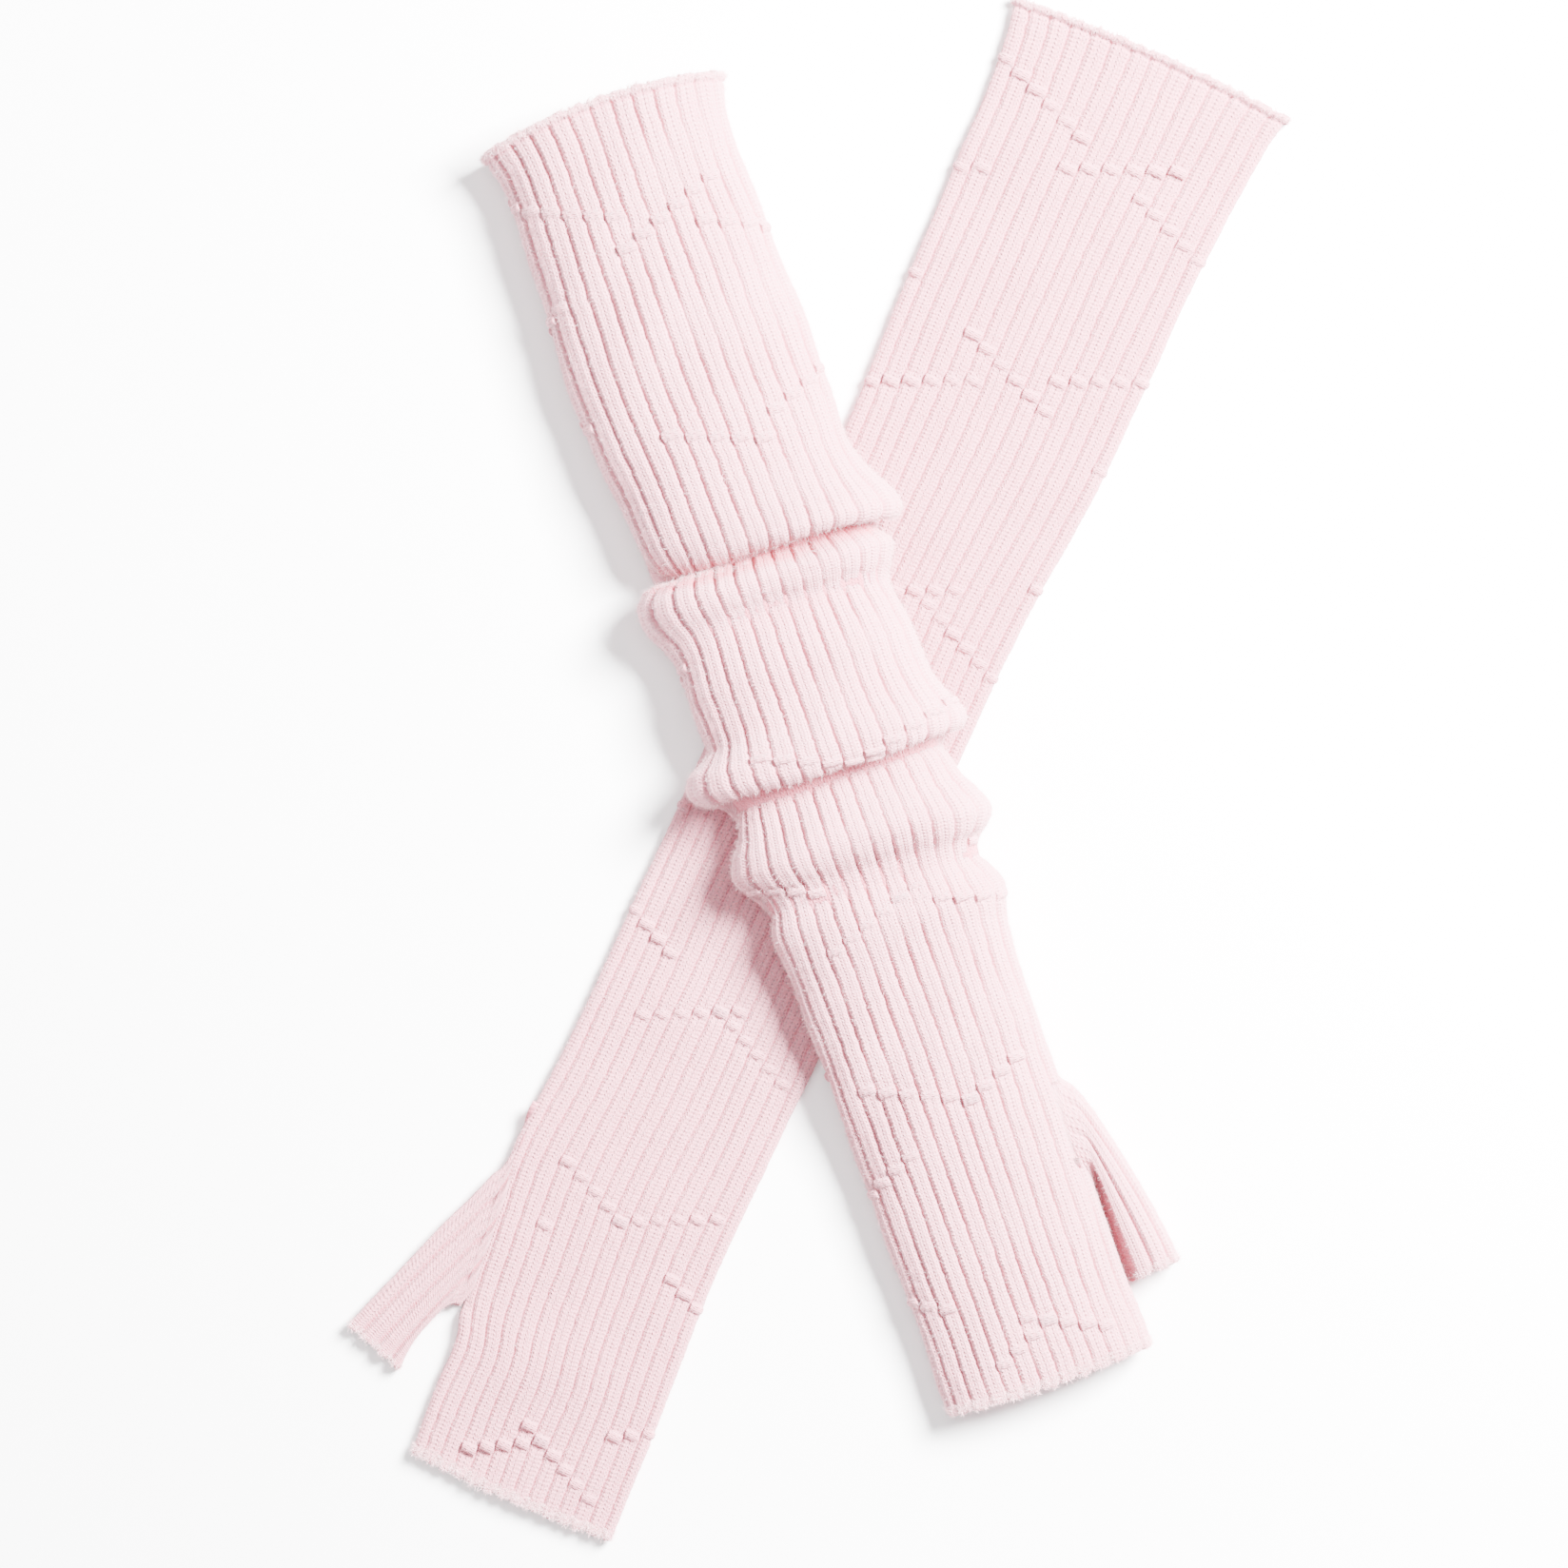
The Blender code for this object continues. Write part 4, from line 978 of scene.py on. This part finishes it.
def arch_ring(half_width, height, share, out=None):
    """Places across and up on a filled ring: a full arch over a flat base with rounded corners.
    out moves each place outwards.
    """
    turn = np.linspace(0, 2 * math.pi, RING_STEPS + 1)
    x, z = -np.cos(turn), np.sin(turn)
    over = z >= 0
    (top_x, top_z), (base_x, base_z) = UPPER_TOP_POWERS, UPPER_BASE_POWERS
    x = np.sign(x) * np.abs(x) ** np.where(over, 2 / top_x, 2 / base_x)
    z = np.where(over, np.abs(z) ** (2 / top_z), -np.abs(z) ** (2 / base_z))
    share = np.broadcast_to(share, (len(half_width), share.shape[-1]))
    across, up = np.empty(share.shape), np.empty(share.shape)
    middle = RING_STEPS // 2
    for row, (half, tall) in enumerate(zip(half_width.ravel(), height.ravel())):
        side = UPPER_SIDE_HEIGHT * tall
        line_x = half * x
        line_z = side + z * np.where(over, tall - side, side)
        way = np.concatenate([[0], np.cumsum(np.hypot(np.diff(line_x), np.diff(line_z)))])
        upper = share[row] * 2 * way[middle]
        lower = way[middle] + (share[row] - 0.5) * 2 * (way[-1] - way[middle])
        target = np.where(share[row] < 0.5, upper, lower)
        across[row] = np.interp(target, way, line_x)
        up[row] = np.interp(target, way, line_z)
        if out is not None:
            outward_x = np.interp(target, way, -np.gradient(line_z))
            outward_z = np.interp(target, way, np.gradient(line_x))
            size = np.hypot(outward_x, outward_z)
            across[row] += outward_x / size * out[row]
            up[row] += outward_z / size * out[row]
    return across, up


def held_up(x, y):
    """How high the upper glove's base is held above the surface at a place, by the lower glove."""
    angle = math.radians(LOWER_LEAN)
    dx, dy = x - LOWER_START[0], y - LOWER_START[1]
    along = dx * math.sin(angle) - dy * math.cos(angle)
    aside = dx * math.cos(angle) + dy * math.sin(angle)
    middle, half = lower_form(along)
    outside = np.abs(aside - middle) - half - CROSSING_MARGIN
    return (LOWER_THICK + CROSSING_GAP) * (1 - smooth_step(outside / CROSSING_RAMP))


def upper_form(along):
    """The middle, half width and height of the upper glove, at places along its plain form."""
    return {k: curve_through(UPPER_FORM["along"], UPPER_FORM[k], along) for k in UPPER_FORM}


def fold_cloth():
    """How far along the cloth each row of the fold course lies."""
    course = np.array(FOLD_COURSE, float)
    steps = [np.hypot(np.diff(course[:, k]), np.diff(course[:, k + 1])) for k in (0, 2, 4)]
    length = FOLD_COURSE[-1][0] - FOLD_COURSE[0][0] + SLOUCH_TAKES_UP
    passed = np.concatenate([[0], np.cumsum(np.mean(steps, axis=0))])
    return FOLD_COURSE[0][0] + passed * length / passed[-1]


def slouch(cloth, share):
    """Where the cloth lies along the glove, and how far out from its plain form."""
    places = fold_cloth()
    side = np.clip(share * 2, 0, 1) * 2 - 1
    course = dict(zip(FOLD_COLUMNS, np.array(FOLD_COURSE, float).T))
    found = []
    for way in ("along", "out"):
        columns = (course[f"{part}_{way}"] for part in ("left", "middle", "right"))
        left, middle, right = (curve_through(places, column, cloth) for column in columns)
        found.append(middle + side * (right - left) / 2 + side**2 * ((left + right) / 2 - middle))
    beyond = np.minimum(cloth - places[0], 0) + np.maximum(cloth - places[-1], 0)
    return found[0] + beyond, found[1]


def upper_skin(cloth, share, shift=0):
    """Places on the upper glove's outside, as smooth as if it had no ribs, and its folds' depth."""
    length = UPPER_FORM["along"][-1] + SLOUCH_TAKES_UP
    folds = fold_cloth()[[0, -1]]
    ends = (0, folds[0], folds[1] - SLOUCH_TAKES_UP, UPPER_FORM["along"][-1])
    place = np.interp(cloth, (0, *folds, length), ends)
    round_the_top = np.where(share > 0.75, share - 1, share)
    free = 1 - smooth_step((np.abs(round_the_top - 0.25) - 0.25) / FLANK)
    seen = np.clip(round_the_top, 0, 0.5)
    lies_along, stands_out = slouch(cloth, seen)
    here = place + (lies_along - place) * free + shift
    here = here + edge_bow(place, UPPER_FORM, UPPER_EDGE_BOW) * np.sin(seen * 2 * math.pi) * free
    form = upper_form(place)
    across, up = arch_ring(form["half_width"], form["height"], share, stands_out * free)
    flat = lay_out(UPPER_START, UPPER_LEAN, here, form["aside"] + across, up * 0)
    ground = held_up(flat[..., 0], flat[..., 1])
    raised = up / form["height"]
    up = up + ground * (1 - raised) + ground.mean(axis=-1, keepdims=True) * raised
    flat[..., 2] = up
    return flat, stands_out * free


upper_length = UPPER_FORM["along"][-1] + SLOUCH_TAKES_UP
below = np.linspace(0.5 + FLANK, 1 - FLANK, RIBS - UPPER_TOP_RIBS - 1)
upper_grooves = np.concatenate([np.linspace(0, 0.5, UPPER_TOP_RIBS + 1), below, [1.0]])
ribs, phases, shares = rib_points(upper_grooves, range(UPPER_TOP_RIBS + 1, RIBS - 1))
rows = stitch_rows(upper_length)
cloth = rows[:, None]
shift = scalloped(cloth, upper_length, ribs, phases, UPPER_SEED) - cloth
out_of_line = jagged(len(rows), ribs, phases, UPPER_SEED)
skin, stands_out = upper_skin(cloth, (wandered(cloth, shares, UPPER_SEED) + out_of_line) % 1.0, shift)
normal = outward(upper_skin(cloth, wandered(cloth, shares, UPPER_SEED) % 1.0)[0])
on_top = (shares < 0.5 + FLANK) | (shares > 1 - FLANK)
depth, groove = rib_depth(phases, UPPER_PITCH, UPPER_KNIT)
round_the_top = np.clip(np.where(shares > 0.75, shares - 1, shares) * 2, 0, 1)
left_groove, right_groove = UPPER_GROOVE_SHARE
ribbed = ribs_begin(rows) * (left_groove + (right_groove - left_groove) * round_the_top)
uneven_grooves = waves(cloth, shares, UPPER_SEED + 2, UPPER_GROOVE_WAVES["lengths"])
ribbed = np.clip(ribbed * (1 + UPPER_GROOVE_WAVES["size"] * uneven_grooves), 0, UPPER_DEEPEST)
swell = SWELL["size"] * waves(cloth, shares, UPPER_SEED + 1, SWELL["lengths"])
relief = (tucks(cloth, ribs, phases, UPPER_TUCKED) + swell) * on_top - depth * ribbed
thumb_ends = [end + SLOUCH_TAKES_UP for end in UPPER_THUMB_OPENING]
beside = np.abs(shares - UPPER_OPENING_RING["middle"]) < UPPER_OPENING_RING["half"]
# Painted shade in the folds' creases, read by the material as the fold mark.
from_first = (cloth - fold_cloth()[FIRST_FOLD["row"]]) / FIRST_FOLD["half_length"]
below_first = smooth_step((FIRST_FOLD["out"] - stands_out) / FIRST_FOLD["out_fade"])
fold = np.maximum(
    LATER_FOLDS["pink"] * smooth_step((-stands_out - LATER_FOLDS["from"]) / LATER_FOLDS["fade"]),
    FIRST_FOLD["pink"] * np.exp(-(from_first**4)) * below_first
)
upper_glove, outer = knit_glove(
    "upper_glove_knit", skin, normal, relief, rows, (ribs, phases), (*thumb_ends, beside),
    (groove * np.clip(ribbed, 0, 1), fold), UPPER_KNIT, UPPER_SEED
)
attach(upper_glove, "root")
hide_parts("upper_glove")
upper_knots = tuck_knots(
    "upper_glove_tucks", skin, normal, rows, ribs, UPPER_TUCKED, UPPER_KNIT["gaps"]
)
upper_fibres = loose_fibres(
    "upper_glove_fibres", outer, normal, FIBRES["glove"], FRAYED_ROWS, UPPER_SEED
)

# Upper thumb
# The same short tube of knit, on the right of the upper hand. It stands close beside the hand,
# filled out like the glove, with a deep slit between them.
UPPER_THUMB = {
    "outer_along": (366, 379, 392, 405, 419, 433, 443.5),
    "outer_aside": (38.9, 44.4, 48, 51, 53.8, 56, 57),
    "inner_along": (407.5, 409, 413, 420, 428, 437, 445),
    "inner_aside": (38.2, 37.4, 37.0, 36.8, 36.7, 36.7, 36.9),
    "base": (3.6, 2.2, 0.6, 0, 0, 0, 0),
    "height": (10.4, 11.8, 13.4, 14, 14, 14, 14),
}
UPPER_THUMB_LENGTH = 68
UPPER_ROOT_SUNK = 0.5
UPPER_JOIN = {"reach": (16, 10), "edge": 0.5, "inwards": -1.3 / 26, "shaded": 0.14, "plain": 16}


def upper_side(along, z):
    """How far aside a place just inside the upper hand's right side is."""
    form = upper_form(along)
    side = UPPER_SIDE_HEIGHT * form["height"]
    above = np.clip((z - side) / (form["height"] - side - UPPER_ROOT_SUNK), 0, 1)
    below = np.clip((side - z) / side, 0, 1)
    full = form["half_width"] - UPPER_ROOT_SUNK
    over = full * (1 - above**UPPER_TOP_POWERS[1]) ** (1 / UPPER_TOP_POWERS[0])
    under = full * (1 - below**UPPER_BASE_POWERS[1]) ** (1 / UPPER_BASE_POWERS[0])
    return form["aside"] + np.where(z > side, over, under)


def upper_rings(t, share):
    t = t * (len(UPPER_THUMB["height"]) - 1)
    return thumb_rings(UPPER_START, UPPER_LEAN, UPPER_THUMB, arch_ring, upper_side, t, share)


def upper_arm(along, share):
    cloth = along[:, None] + SLOUCH_TAKES_UP
    return upper_skin(cloth, wandered(cloth, share[:, None], UPPER_SEED) % 1.0)[0][:, 0]


upper_thumb, upper_thumb_fibres = knit_thumb(
    "upper_glove_thumb_knit", upper_rings, UPPER_THUMB, upper_arm, UPPER_JOIN,
    thumb_ribs, thumb_phases, thumb_shares, UPPER_THUMB_LENGTH, UPPER_KNIT, UPPER_SEED
)
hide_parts("upper_glove_thumb")
